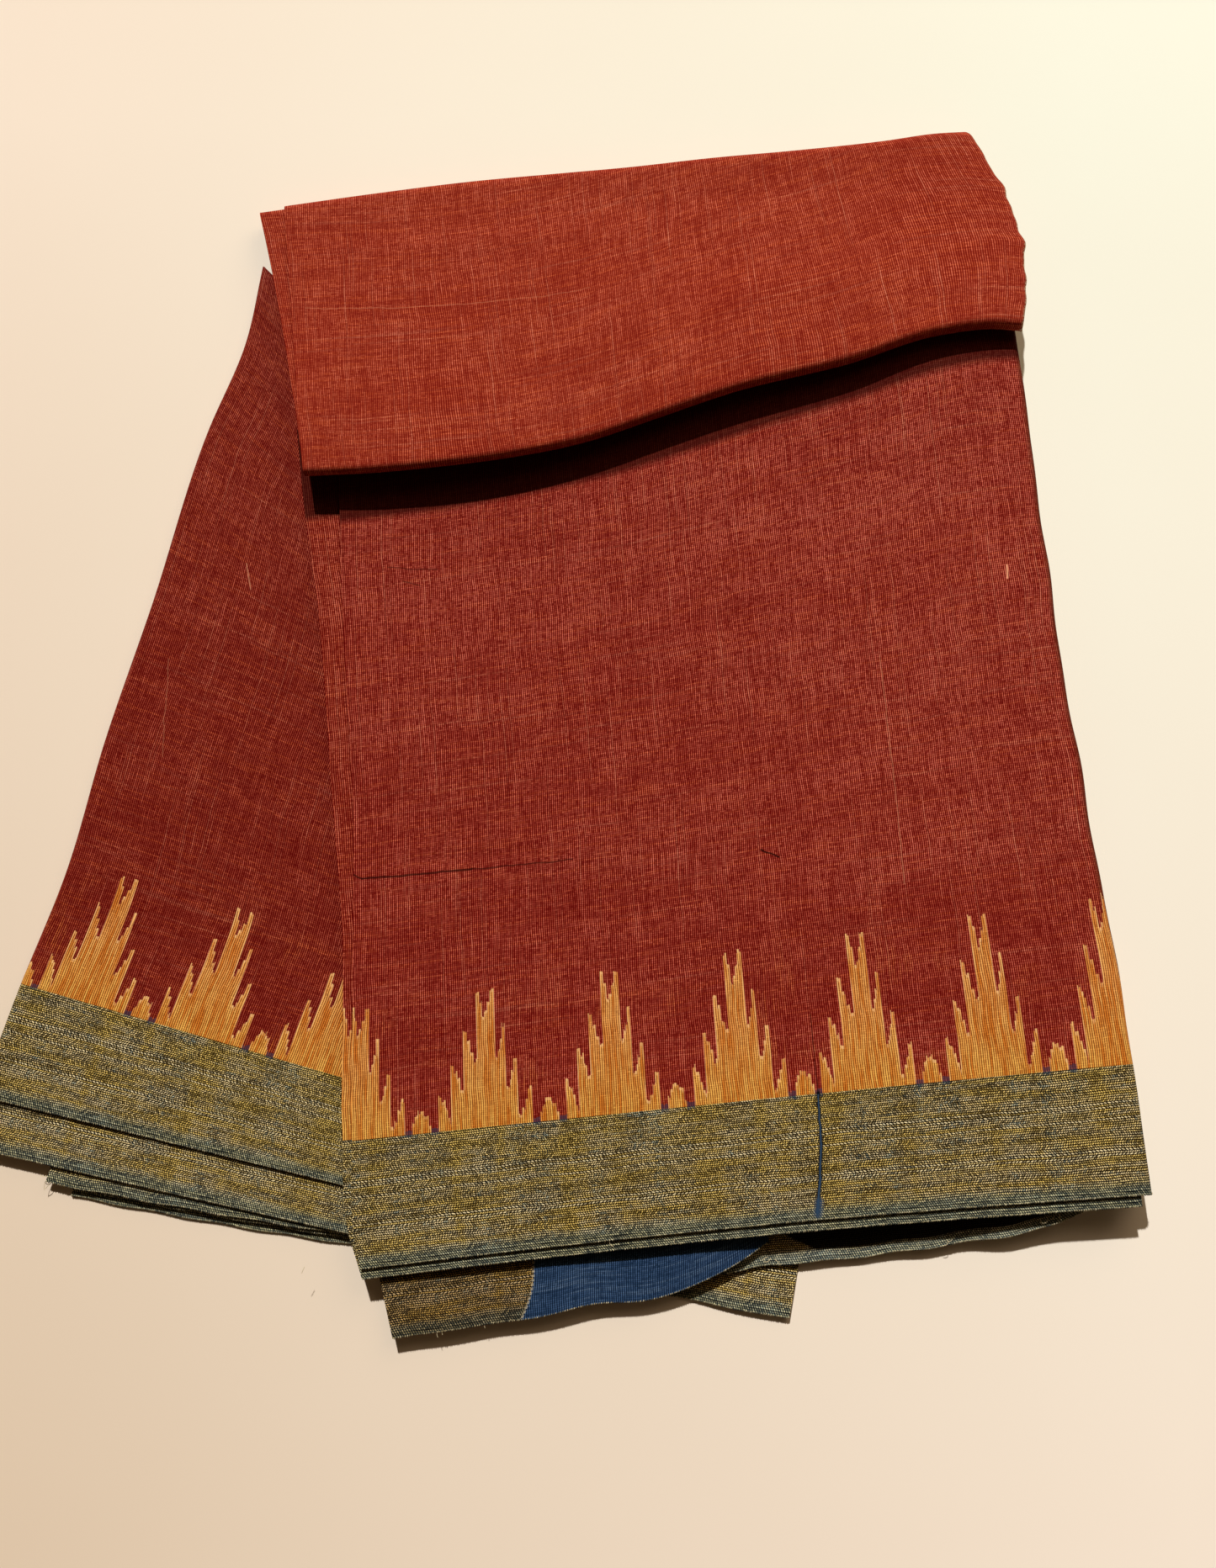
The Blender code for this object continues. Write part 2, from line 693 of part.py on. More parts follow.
def build_sari():
    for obj in list(bpy.data.objects):
        bpy.data.objects.remove(obj)
    parts = new_collection("sari")
    tools = new_collection("sari_tools")
    tools.hide_render = True
    hidden_layers(parts, tools)
    front_sheet("front_panel", 0.0, "left_x", 0.0, 0.0, parts, MAROON)
    front_sheet(
        "front_second_layer", PITCH, "second_x", SECOND_REACH, SECOND_END_INSET, parts, MAROON
    )
    flap_sheet("flap", 0.0, 0.0, 0.0, RETURN_DEPTH, parts, MAROON)
    flap_sheet(
        "flap_second_layer",
        PITCH,
        UNDER_LAYER_REACH,
        UNDER_LAYER_END_INSET,
        SECOND_RETURN_DEPTH,
        parts,
        MAROON,
    )
    back_sheet("back_panel", BACK_TOP_LEVEL, 0.0, 0.0, parts, MAROON)
    back_sheet(
        "back_second_layer", BACK_SECOND_LEVEL, BACK_SECOND_REACH, BACK_SECOND_END_INSET, parts, OLIVE
    )
    for name in EDGE_LEVELS:
        edge_strip(name, parts, OLIVE)
    tucked_end(parts)
    lower_layer(parts)
    under_corner(parts)


build_sari()
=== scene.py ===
import json
import math

import bmesh
import bpy
import numpy as np
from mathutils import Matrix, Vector

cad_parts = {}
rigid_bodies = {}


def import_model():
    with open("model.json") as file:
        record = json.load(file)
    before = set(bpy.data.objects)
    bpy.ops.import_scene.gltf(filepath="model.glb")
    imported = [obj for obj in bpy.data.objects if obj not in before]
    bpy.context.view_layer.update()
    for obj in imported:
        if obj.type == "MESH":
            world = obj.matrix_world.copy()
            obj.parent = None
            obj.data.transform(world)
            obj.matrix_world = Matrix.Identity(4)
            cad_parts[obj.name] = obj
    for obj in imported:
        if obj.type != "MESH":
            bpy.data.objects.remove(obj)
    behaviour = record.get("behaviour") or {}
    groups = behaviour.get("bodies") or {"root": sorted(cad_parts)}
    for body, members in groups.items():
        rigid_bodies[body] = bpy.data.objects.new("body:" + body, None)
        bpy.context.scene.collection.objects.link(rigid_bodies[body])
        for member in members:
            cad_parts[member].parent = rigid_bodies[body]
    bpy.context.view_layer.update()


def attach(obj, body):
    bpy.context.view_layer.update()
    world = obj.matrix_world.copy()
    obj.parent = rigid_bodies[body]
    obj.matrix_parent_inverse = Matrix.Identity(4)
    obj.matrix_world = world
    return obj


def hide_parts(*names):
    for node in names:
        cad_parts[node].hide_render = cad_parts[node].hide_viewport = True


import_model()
print("frame loaded")

# The tables are in millimetres: x to the right, y away from the viewer, z up from the table.
# tableCentre is the middle of the sari's box in them, which is the frame's origin.
tableCentre = {"x": -29.15, "y": 53.0}
cloth = {
    "pitch": 1.6,
    "thickness": 0.9,
    "leafWidth": 393.0,
    "solidLayer": 1.3,
    "snug": 0.25,
    "columns": 126,
    "secondColumns": 111,
    "foldSteps": 8,
    "tailSteps": 3,
}


# a table's columns, and the slope of each against the first
def readTable(columns, rows):
    names = columns.split()
    table = {name: np.array([row[i] for row in rows], float) for i, name in enumerate(names)}
    table["slopes"] = {name: np.gradient(table[name], table[names[0]]) for name in names}
    return table


def blend(a, b, t):
    return a + (b - a) * t


def within(t):
    return np.clip(t, 0.0, 1.0)


def arch(t):
    return np.sin(math.pi * within(t))


def ease(t):
    t = within(t)
    return t * t * (3 - 2 * t)


# reads a column between its rows along a smooth curve, straight on past both ends
def smooth(table, by, name, at):
    xs = table[by]
    ys = table[name]
    slopes = table["slopes"][name]
    at = np.asarray(at, float)
    i = np.clip(np.searchsorted(xs, at, side="right") - 1, 0, len(xs) - 2)
    span = xs[i + 1] - xs[i]
    t = within((at - xs[i]) / span)
    inside = (
        (2 * t**3 - 3 * t**2 + 1) * ys[i]
        + (t**3 - 2 * t**2 + t) * span * slopes[i]
        + (3 * t**2 - 2 * t**3) * ys[i + 1]
        + (t**3 - t**2) * span * slopes[i + 1]
    )
    return inside + slopes[0] * np.minimum(at - xs[0], 0) + slopes[-1] * np.maximum(at - xs[-1], 0)


def columnsAt(table, by, names, at):
    return np.stack([smooth(table, by, name, at) for name in names.split()], axis=-1)


def toMetres(points):
    moved = np.array(points, float)
    moved[..., 0] -= tableCentre["x"]
    moved[..., 1] -= tableCentre["y"]
    return moved * 0.001


# The front leaf, from its selvedge to the end under the flap
front = {
    "length": 445.0,
    "selvedgeBow": 3.0,
    "panelDepth": 34.0,
    "mouthDepth": 36.0,
    "secondReach": 5.0,
    "secondEndInset": 6.0,
    "foldRadius": 3.5,
    "foldTail": 2.6,
    "wavyFold": 0.55,
    "swell": 0.8,
    "rows": 141,
}
frontTable = readTable(
    "along leftX leftY secondX rightX rightY zLeft zMiddle zRight",
    (
        (0.00, -122, -245, -123, 270, -209, 13.0, 15.3, 17.0),
        (0.04, -126, -227, -129, 268.5, -189, 13.6, 15.6, 17.0),
        (0.14, -128, -183, -133, 265, -140, 15.0, 16.2, 17.0),
        (0.38, -131, -76, -137, 252, -21, 16.5, 17.2, 17.0),
        (0.52, -133, -14, -144, 244.5, 48, 17.0, 17.6, 17.0),
        (0.67, -139, 53, -151, 238.5, 122, 17.5, 18.0, 17.0),
        (0.78, -143, 102, -157, 235, 176, 17.8, 18.0, 17.0),
        (0.88, -146, 147, -165, 231.5, 226, 18.0, 18.0, 17.0),
        (1.00, -150, 200, -172, 227, 285, 18.0, 18.0, 17.0),
    ),
)

# The flap: the plan of its lip and top edge, the height of its crown and the roll of its lip
flap = {
    "topRadius": 8.0,
    "wrapLowest": -60.0,
    "returnDepth": 29.0,
    "secondReturnDepth": 14.0,
    "returnFall": 2.5,
    "returnFloor": 18.4,
    "rightBulge": 13.5,
    "ragged": 0.8,
    "secondReach": 15.0,
    "secondEndInset": 8.0,
    "foldRadius": 3.0,
    "swell": 1.3,
    "lipSteps": 14,
    "slopeSteps": 62,
    "wrapSteps": 10,
    "returnSteps": 8,
}
flapTable = readTable(
    "across lipX lipY topX topY crown roll",
    (
        (0.00, -163, 163, -186, 337, 33.0, 7.0),
        (0.13, -118, 165, -135, 345, 34.5, 7.2),
        (0.28, -52, 173.4, -77, 353, 34.2, 7.5),
        (0.40, -10, 183.4, -28, 358, 33.0, 7.8),
        (0.50, 26, 196.6, 12, 362, 32.7, 8.0),
        (0.62, 72.5, 213.5, 60, 368, 32.4, 8.2),
        (0.75, 131, 229.6, 110, 373, 30.8, 8.5),
        (0.88, 182, 248.0, 160, 379, 28.8, 8.8),
        (0.96, 214.5, 252.8, 192, 384, 27.8, 8.8),
        (1.00, 230, 252, 209, 385, 27.0, 8.6),
    ),
)

# The back leaf, from its selvedge to the end under the flap
back = {
    "length": 470.0,
    "secondReach": 25.0,
    "secondEndInset": 5.0,
    "foldRadius": 3.5,
    "foldTail": 2.0,
    "level": 4,
    "swell": 0.7,
    "columns": 61,
    "rows": 131,
}
backTable = readTable(
    "along leftX leftY rightX rightY",
    (
        (0.00, -321, -162, -103, -213),
        (0.11, -306, -111, -112, -165),
        (0.24, -286, -50, -115, -104),
        (0.40, -270, 23, -120, -31),
        (0.56, -250, 98, -129, 45),
        (0.78, -225, 200, -146, 142),
        (0.89, -207, 252, -152, 200),
        (1.00, -199, 302, -160, 262),
    ),
)

# What shows below the two leaves
edgeStrips = {
    "columns": ("leftX", "leftY", "rightX", "rightY"),
    "backEdgeUpper": (-284, -205, -104, -234),
    "backEdgeMiddle": (-276, -207, -104, -236),
    "backEdgeLower": (-272, -212, -104, -239),
    "levels": {"backEdgeLower": 0, "backEdgeMiddle": 1, "backEdgeUpper": 2},
    "depth": (9.2, 32.6),
    "bow": 1.2,
}
tuckedTable = readTable(
    "across lowX lowY highX highY",
    (
        (0.00, -106, -279, -119, -228),
        (0.14, -80, -274.5, -88, -225),
        (0.34, -43, -270, -46, -220),
        (0.50, -12, -263.5, -12, -217),
        (0.66, 18, -260.5, 18, -214),
        (0.80, 44, -253.5, 44, -212),
        (0.92, 64, -243, 64, -210),
        (1.00, 80, -233, 80, -208),
    ),
)
lowerTable = readTable(
    "across lowX lowY highX highY under",
    (
        (0.00, 44, -252, 52, -216, 2.4),
        (0.05, 57, -249, 62, -212, 2.4),
        (0.17, 82, -245, 86, -208, 2.6),
        (0.33, 117, -242, 119, -206, 2.8),
        (0.47, 149, -238, 150, -203, 3.2),
        (0.57, 171, -235, 171, -200, 3.9),
        (0.65, 189, -232, 188, -197, 5.0),
        (0.74, 208, -229, 207, -194, 6.6),
        (0.80, 220, -225, 219, -192, 8.2),
        (0.89, 240, -217, 238, -189, 10.6),
        (1.00, 263, -215, 260, -185, 12.1),
    ),
)
cornerTable = readTable(
    "across lowX lowY highX highY",
    (
        (0.00, 19, -258.5, 30, -216),
        (0.30, 39, -261, 50, -219),
        (0.65, 63, -266, 75, -222),
        (1.00, 90, -270, 100, -226),
    ),
)


def lipPlan(across):
    return columnsAt(flapTable, "across", "lipX lipY", across)


def topPlan(across):
    return columnsAt(flapTable, "across", "topX topY", across)


def flapRun(across):
    return np.linalg.norm(topPlan(across) - lipPlan(across), axis=-1)


def mouthY(across, depth):
    run = topPlan(across) - lipPlan(across)
    return (lipPlan(across) + run / np.linalg.norm(run, axis=-1, keepdims=True) * depth)[..., 1]


def frontHeight(across, along):
    left, middle, right = (
        smooth(frontTable, "along", name, within(along)) for name in ("zLeft", "zMiddle", "zRight")
    )
    nearLeft = blend(left, middle, ease(across * 2))
    nearRight = blend(middle, right, ease(across * 2 - 1))
    return np.where(across < 0.5, nearLeft, nearRight)


def byRightFold(across):
    return ease((across - 0.94) / 0.06)


def frontPlan(across, along, leftColumn="leftX"):
    left = columnsAt(frontTable, "along", leftColumn + " leftY", along)
    right = columnsAt(frontTable, "along", "rightX rightY", along)
    point = blend(left, right, across[..., None])
    point[..., 1] += front["selvedgeBow"] * arch(across) * np.maximum(0, 1 - 6 * along)
    straight = blend(frontTable["leftY"][-1], frontTable["rightY"][-1], across)
    point[..., 1] += np.maximum(0, along) ** 3 * (mouthY(across, front["panelDepth"]) - straight)
    wavy = np.sin(31 * along + 0.4) + 0.7 * np.sin(57 * along + 1.9)
    point[..., 0] += front["wavyFold"] * wavy * byRightFold(across) * arch(along)
    return point


def backPlan(across, along):
    left = columnsAt(backTable, "along", "leftX leftY", along)
    right = columnsAt(backTable, "along", "rightX rightY", along)
    return blend(left, right, across[..., None])


def stripPlan(table, across, along):
    low = columnsAt(table, "across", "lowX lowY", across)
    high = columnsAt(table, "across", "highX highY", across)
    return blend(low, high, along[..., None])


# the outer line of each section of the flap, as (distance south of the top edge, z)
def flapLines(across, returnDepth):
    run = flapRun(across)
    crown = smooth(flapTable, "across", "crown", across)
    half = smooth(flapTable, "across", "roll", across) / 2
    fall = np.minimum(flap["returnFall"], crown - 2 * half - flap["returnFloor"])
    fall = fall * returnDepth / flap["returnDepth"]
    radius = flap["topRadius"]
    line = []
    for k in range(flap["returnSteps"]):
        left = 1 - k / flap["returnSteps"]
        line.append((run - half - returnDepth * left, crown - 2 * half - fall * left))
    for k in range(flap["lipSteps"] + 1):
        turn = math.radians(-90 + 180 * k / flap["lipSteps"])
        line.append((run - half + half * math.cos(turn), crown - half + half * math.sin(turn)))
    for k in range(1, flap["slopeSteps"]):
        share = 1 - k / flap["slopeSteps"]
        rise = blend(share, ease(share), 0.5)
        line.append((blend(radius, run - half, share), blend(2 * radius, crown, rise)))
    for k in range(flap["wrapSteps"] + 1):
        turn = math.radians(blend(90, flap["wrapLowest"], k / flap["wrapSteps"]))
        flat = np.ones_like(run)
        line.append((radius * (1 - math.cos(turn)) * flat, radius * (1 + math.sin(turn)) * flat))
    return np.stack([np.stack(point, axis=-1) for point in line], axis=-2)


def movedIn(lines, distance):
    before = np.diff(lines, axis=-2)
    before /= np.linalg.norm(before, axis=-1, keepdims=True)
    tangents = np.concatenate(
        [before[..., :1, :], before[..., :-1, :] + before[..., 1:, :], before[..., -1:, :]], axis=-2
    )
    lengths = np.linalg.norm(tangents, axis=-1, keepdims=True)
    miter = np.ones_like(lengths)
    miter[..., 1:-1, :] = 2 / lengths[..., 1:-1, :]
    tangents = tangents / lengths
    inward = np.stack([-tangents[..., 1], tangents[..., 0]], axis=-1)
    return lines + inward * distance * miter


def flapPlan(across, share):
    top = topPlan(across)
    point = top + (lipPlan(across) - top) * share[..., None]
    point[..., 0] += flap["rightBulge"] * arch(share) * ease((across - 0.8) / 0.2)
    ragged = np.sin(23 * share + 0.6) + 0.8 * np.sin(41 * share + 2.1) + 0.5 * np.sin(67 * share)
    point[..., 0] += flap["ragged"] * ragged * byRightFold(across) * arch(share)
    return point


def reached(across, share, reach):
    out = reach * (1 - within(share)) ** 1.3
    return across - out / cloth["leafWidth"] * (1 - across)


# Slow swells and the few creases that the cloth has kept: start, end, half width, height
def swell(x, y, seed):
    return (
        0.30 * np.sin(x * 0.043 + 1.3 * seed + 0.6 * np.sin(y * 0.021))
        + 0.22 * np.sin(y * 0.037 + x * 0.013 + 2.1 * seed)
        + 0.12 * np.sin(x * 0.094 - y * 0.051 + seed)
    )


def crease(x, y, start, end, halfWidth, height):
    ax, ay = start
    dx, dy = end[0] - ax, end[1] - ay
    length = math.hypot(dx, dy)
    t = within(((x - ax) * dx + (y - ay) * dy) / length**2)
    away = np.hypot(x - (ax + dx * t), y - (ay + dy * t))
    fade = np.sin(math.pi * np.clip(t, 0.02, 0.98)) ** 0.5
    return height * fade * np.exp(-((away / halfWidth) ** 2))


print("shapes read")


def newGrid(name, columns, rows):
    bpy.ops.object.select_all(action="DESELECT")
    bpy.ops.mesh.primitive_grid_add(x_subdivisions=columns, y_subdivisions=rows, size=1)
    piece = bpy.context.object
    piece.name = piece.data.name = name
    return piece


# A piece of cloth: points[column, row] and thread coordinates, both in millimetres
def clothPiece(name, points, threads, material):
    columns, rows = points.shape[0] - 1, points.shape[1] - 1
    piece = newGrid(name, columns, rows)
    mesh = piece.data
    flat = np.empty(len(mesh.vertices) * 3)
    mesh.vertices.foreach_get("co", flat)
    flat = flat.reshape(-1, 3)
    column = np.rint((flat[:, 0] + 0.5) * columns).astype(int)
    row = np.rint((flat[:, 1] + 0.5) * rows).astype(int)
    mesh.vertices.foreach_set("co", toMetres(points)[column, row].ravel())
    corner = np.empty(len(mesh.loops), int)
    mesh.loops.foreach_get("vertex_index", corner)
    mesh.uv_layers.active.name = "threads"
    mesh.uv_layers.active.data.foreach_set("uv", (threads[column, row][corner] * 0.001).ravel())
    mesh.update()
    wall = piece.modifiers.new("wall", "SOLIDIFY")
    wall.thickness = cloth["thickness"] * 0.001
    wall.offset = -1
    bpy.ops.object.modifier_apply(modifier=wall.name)
    bpy.ops.object.shade_smooth_by_angle(angle=math.radians(50))
    mesh.materials.append(material)
    return points


def unitGrid(columns, rows):
    return np.meshgrid(np.linspace(0, 1, columns), np.linspace(0, 1, rows), indexing="ij")


def raised(plan, z):
    return np.concatenate([plan, z[..., None]], axis=-1)


# across stations of a lower layer, which ends flat before the fold
def flatStations(inset):
    columns = cloth["secondColumns"]
    return np.linspace(0, 1 - inset / cloth["leafWidth"], columns), np.zeros(columns)


# across stations and how far the cloth has turned down there, for a fold at the right end
def foldStations(radius, tail):
    width, count = cloth["leafWidth"], cloth["columns"]
    steps, tailSteps = cloth["foldSteps"], cloth["tailSteps"]
    across = [(1 - radius / width) * k / count for k in range(count + 1)]
    drop = [0.0] * (count + 1)
    for k in range(1, steps + 1):
        turn = math.radians(90 * k / steps)
        across.append(1 - radius * (1 - math.sin(turn)) / width)
        drop.append(radius * (1 - math.cos(turn)))
    for k in range(1, tailSteps + 1 if tail else 0):
        across.append(1 - 0.08 * k**2 * tail / width)
        drop.append(radius + tail * k / tailSteps)
    return np.array(across), np.array(drop)


def frontSheet(name, second, seed, material):
    depth = cloth["pitch"] if second else 0.0
    reach = front["secondReach"] if second else 0.0
    if second:
        across, drop = flatStations(front["secondEndInset"])
    else:
        across, drop = foldStations(front["foldRadius"], front["foldTail"])
    along = np.linspace(-reach / front["length"], 0.998, front["rows"])
    a, b = np.meshgrid(across, along, indexing="ij")
    plan = frontPlan(a, b, "secondX" if second else "leftX")
    x, y = plan[..., 0], plan[..., 1]
    z = frontHeight(a, b) - depth - drop[:, None]
    calm = ease(b * 14) * ease((1 - a) * 12) * ease(a * 12)
    z += front["swell"] * swell(x, y, seed) * calm * (1 - ease((b - 0.85) / 0.1))
    if not second:
        for mark in frontCreases:
            z += crease(x, y, *mark)
    u = a * cloth["leafWidth"] + drop[:, None]
    threads = np.stack([u, (b + reach / front["length"]) * front["length"]], axis=-1)
    return clothPiece(name, raised(plan, z), threads, material)


# the creases of the front leaf in the table's x and y: start, end, half width, height
frontCreases = (
    ((-121, -46), (-18, -36), 2.2, -0.45),
    ((-60, -40), (10, -34), 9.0, 0.35),
    ((106, -160), (103, -222), 1.5, -0.5),
    ((140, 60), (146, -40), 3.0, 0.3),
    ((-96, 120), (-100, -120), 12.0, 0.35),
    ((30, 90), (120, 76), 10.0, -0.3),
    ((180, -60), (230, -120), 14.0, 0.3),
)


def flapSheet(name, second, seed, material):
    depth = cloth["pitch"] if second else 0.0
    reach = flap["secondReach"] if second else 0.0
    returnDepth = flap["secondReturnDepth" if second else "returnDepth"]
    if second:
        across, drop = flatStations(flap["secondEndInset"])
    else:
        across, drop = foldStations(flap["foldRadius"], 0)
    whole = movedIn(flapLines(across, returnDepth), depth)
    rows = whole.shape[1]
    points = np.empty((len(across), rows, 3))
    for row in range(rows):
        at = across
        line = whole[:, row]
        if reach:
            at = reached(across, line[:, 0] / flapRun(across), reach)
            line = movedIn(flapLines(at, returnDepth), depth)[:, row]
        plan = flapPlan(at, line[:, 0] / flapRun(at))
        crown = smooth(flapTable, "across", "crown", at)
        roll = smooth(flapTable, "across", "roll", at)
        aroundLip = row <= flap["returnSteps"] + flap["lipSteps"]
        part = within((line[:, 1] - crown + roll) / roll) if aroundLip else 1.0
        wrap = within(line[:, 1] / (2 * flap["topRadius"]))
        points[:, row, :2] = plan
        points[:, row, 2] = line[:, 1] - drop * part * wrap
    lipEnd = flap["returnSteps"] + flap["lipSteps"]
    rowShare = (np.arange(rows) - lipEnd) / (flap["slopeSteps"] + 1.0)
    calm = arch(rowShare) ** 0.6 * (rowShare > 0) * (rowShare < 1)
    x, y = points[..., 0], points[..., 1]
    calm = calm[None, :]
    points[..., 2] += flap["swell"] * swell(x, y, seed) * calm * ease((1 - across) * 14)[:, None]
    if not second:
        for mark in flapCreases:
            points[..., 2] += crease(x, y, *mark) * calm
    steps = np.linalg.norm(np.diff(points, axis=1), axis=-1)
    v = np.concatenate([np.zeros((len(across), 1)), np.cumsum(steps, axis=1)], axis=1)
    u = (across * cloth["leafWidth"] + drop)[:, None] + 0 * v
    threads = np.stack([u, v + front["length"]], axis=-1)
    return clothPiece(name, points, threads, material)


flapCreases = (
    ((-165, 300), (20, 318), 7.0, 0.5),
    ((-20, 330), (190, 352), 9.0, -0.5),
    ((-150, 215), (10, 235), 16.0, -0.5),
    ((40, 262), (200, 300), 14.0, 0.6),
    ((120, 246), (215, 270), 7.0, -0.5),
)


def backSheet(name, second, seed, material):
    level = back["level"] - second
    reach = back["secondReach"] if second else 0.0
    radius = back["foldRadius"]
    start = back["secondEndInset"] if second else radius
    steps, tailSteps = cloth["foldSteps"], cloth["tailSteps"]
    inset = []
    drop = []
    if not second:
        for k in range(tailSteps):
            inset.append(0.1 * (tailSteps - k))
            drop.append(radius + back["foldTail"] * (1 - k / tailSteps))
        for k in range(steps):
            turn = math.radians(90 * (1 - k / steps))
            inset.append(radius * (1 - math.sin(turn)))
            drop.append(radius * (1 - math.cos(turn)))
    low = -reach / back["length"]
    along = np.linspace(low, 1.0, back["rows"])
    share = np.linspace(0, 1, back["columns"])
    zero = np.zeros(1)
    points = np.empty((len(inset) + len(share), len(along), 3))
    threads = np.empty((len(inset) + len(share), len(along), 2))
    for row, b in enumerate(along):
        b = np.array([b])
        width = float(np.linalg.norm(backPlan(zero + 1, b) - backPlan(zero, b)))
        first = start * ease((b[0] - low) * back["length"] / 20) if reach else start
        away = np.concatenate([inset, blend(first, width, share)])
        fall = np.concatenate([drop, 0 * share])
        points[:, row, :2] = backPlan(away / width, b + 0 * away)
        points[:, row, 2] = level * cloth["pitch"] + cloth["solidLayer"] - fall
        threads[:, row, 0] = away - fall
        threads[:, row, 1] = (b[0] - low) * back["length"]
    x, y = points[..., 0], points[..., 1]
    calm = (ease((along - 0.03) * 12) * ease((1 - along) * 6))[None, :] * ease(threads[..., 0] / 40)
    points[..., 2] += back["swell"] * swell(x, y, seed) * calm
    if not second:
        for mark in backCreases:
            points[..., 2] += crease(x, y, *mark)
    return clothPiece(name, points, threads, material)


backCreases = (
    ((-186, 130), (-176, 70), 2.5, 0.35),
    ((-250, 40), (-170, 10), 12.0, 0.4),
    ((-230, -60), (-160, -90), 10.0, -0.3),
)


# The strips below the leaves: columns and rows, the cloth's own width and height in millimetres,
# and how uneven the selvedge is
strips = {
    "edge": {"grid": (91, 13), "cut": (182, 34), "uneven": 0.35},
    "tucked": {"grid": (101, 25), "cut": (106, 51), "uneven": 0.5, "wavy": 0.25},
    "lower": {"grid": (121, 19), "cut": (220, 36), "uneven": 0.45, "wavy": 0.35},
    "corner": {"grid": (41, 25), "cut": (75, 44), "lift": 1.8},
}


def ownThreads(strip, a, b):
    return np.stack([a * strip["cut"][0], b * strip["cut"][1]], axis=-1)


def edgeStrip(name, seed, material):
    strip = strips["edge"]
    edge = dict(zip(edgeStrips["columns"], edgeStrips[name]))
    a, b = unitGrid(*strip["grid"])
    x = blend(edge["leftX"], edge["rightX"], a) + edgeStrips["depth"][0] * (1 - a) * b
    y = blend(edge["leftY"], edge["rightY"], a) - edgeStrips["bow"] * arch(a)
    y += edgeStrips["depth"][1] * b + strip["uneven"] * np.sin(a * 31 + seed) * (1 - b)
    z = edgeStrips["levels"][name] * cloth["pitch"] + cloth["solidLayer"] + 0 * a
    return clothPiece(name, np.stack([x, y, z], axis=-1), ownThreads(strip, a, b), material)


def tuckedSheet(name, material):
    strip = strips["tucked"]
    a, b = unitGrid(*strip["grid"])
    plan = stripPlan(tuckedTable, a, b)
    plan[..., 1] += strip["uneven"] * np.sin(a * 24 + 1) * (1 - b)
    z = back["level"] * cloth["pitch"] + cloth["solidLayer"]
    z = z + strip["wavy"] * np.sin(a * 17 + b * 2)
    threads = np.stack([plan[..., 0] + strip["cut"][0], b * strip["cut"][1]], axis=-1)
    return clothPiece(name, raised(plan, z), threads, material)


def lowerSheet(name, material):
    strip = strips["lower"]
    a, b = unitGrid(*strip["grid"])
    plan = stripPlan(lowerTable, a, b)
    plan[..., 1] += strip["uneven"] * np.sin(a * 41 + 2) * (1 - b)
    z = smooth(lowerTable, "across", "under", a) + cloth["solidLayer"]
    z += strip["wavy"] * np.sin(a * 29) * (1 - b)
    return clothPiece(name, raised(plan, z), ownThreads(strip, a, b), material)


def cornerSheet(name, material):
    strip = strips["corner"]
    a, b = unitGrid(*strip["grid"])
    plan = stripPlan(cornerTable, a, b)
    z = cloth["solidLayer"] + strip["lift"] * ease(a) * np.maximum(0, 1 - b * 2)
    return clothPiece(name, raised(plan, z), ownThreads(strip, a, b), material)


print("sheets ready to be laid")


# A number or colour that varies over the cloth: a shader node's output that can be reckoned with
class Varied:
    def __init__(self, socket):
        self.socket = socket
        self.node = socket.node
        self.tree = socket.id_data

    def __add__(self, other):
        return calc("ADD", self, other)

    def __sub__(self, other):
        return calc("SUBTRACT", self, other)

    def __rsub__(self, other):
        return calc("SUBTRACT", other, self)

    def __mul__(self, other):
        return calc("MULTIPLY", self, other)

    def __truediv__(self, other):
        return calc("DIVIDE", self, other)

    def __lt__(self, other):
        return calc("LESS_THAN", self, other)

    def __gt__(self, other):
        return calc("GREATER_THAN", self, other)

    def __abs__(self):
        return calc("ABSOLUTE", self)


# An input takes a number, a colour, a place or what varies
def plug(socket, value):
    if isinstance(value, Varied):
        value.tree.links.new(value.socket, socket)
    else:
        socket.default_value = (*value, 1) if socket.type == "RGBA" else value


# A new node, in the tree of what is plugged into it
def put(kind, inputs=(), out=0, tree=None, **settings):
    inputs = dict(inputs)
    tree = tree or next(value.tree for value in inputs.values() if isinstance(value, Varied))
    node = tree.nodes.new("ShaderNode" + kind)
    for key, value in settings.items():
        setattr(node, key, value)
    for key, value in inputs.items():
        plug(node.inputs[key], value)
    return Varied(node.outputs[out])


def calc(operation, *values):
    return put("Math", enumerate(values), operation=operation)


def scaled(value, gain, base):
    return calc("MULTIPLY_ADD", value, gain, base)


# The last step stays between 0 and 1
def clamped(value):
    value.node.use_clamp = True
    return value


# A soft hump for each whole step
def wave(value):
    return calc("SINE", calc("FRACT", value) * math.pi)


def vectorCalc(operation, a, b, out=0):
    return put("VectorMath", {0: a, 3 if operation == "SCALE" else 1: b}, out, operation=operation)


def split(value, kind="SeparateXYZ"):
    return [Varied(socket) for socket in put(kind, {0: value}).node.outputs]


def joined(x, y, z=0.0):
    return put("CombineXYZ", {0: x, 1: y, 2: z})


def noiseAt(place, scale, detail):
    return put("TexNoise", {"Vector": place, "Scale": scale, "Detail": detail})


def noise(x, y, detail, seed):
    return noiseAt(joined(x, y, seed), 1.0, detail)


def chance(step):
    return put("TexWhiteNoise", {"W": step}, noise_dimensions="1D")


def mixed(factor, a, b, kind="MIX"):
    return put("Mix", {0: factor, 6: a, 7: b}, 2, data_type="RGBA", blend_type=kind)


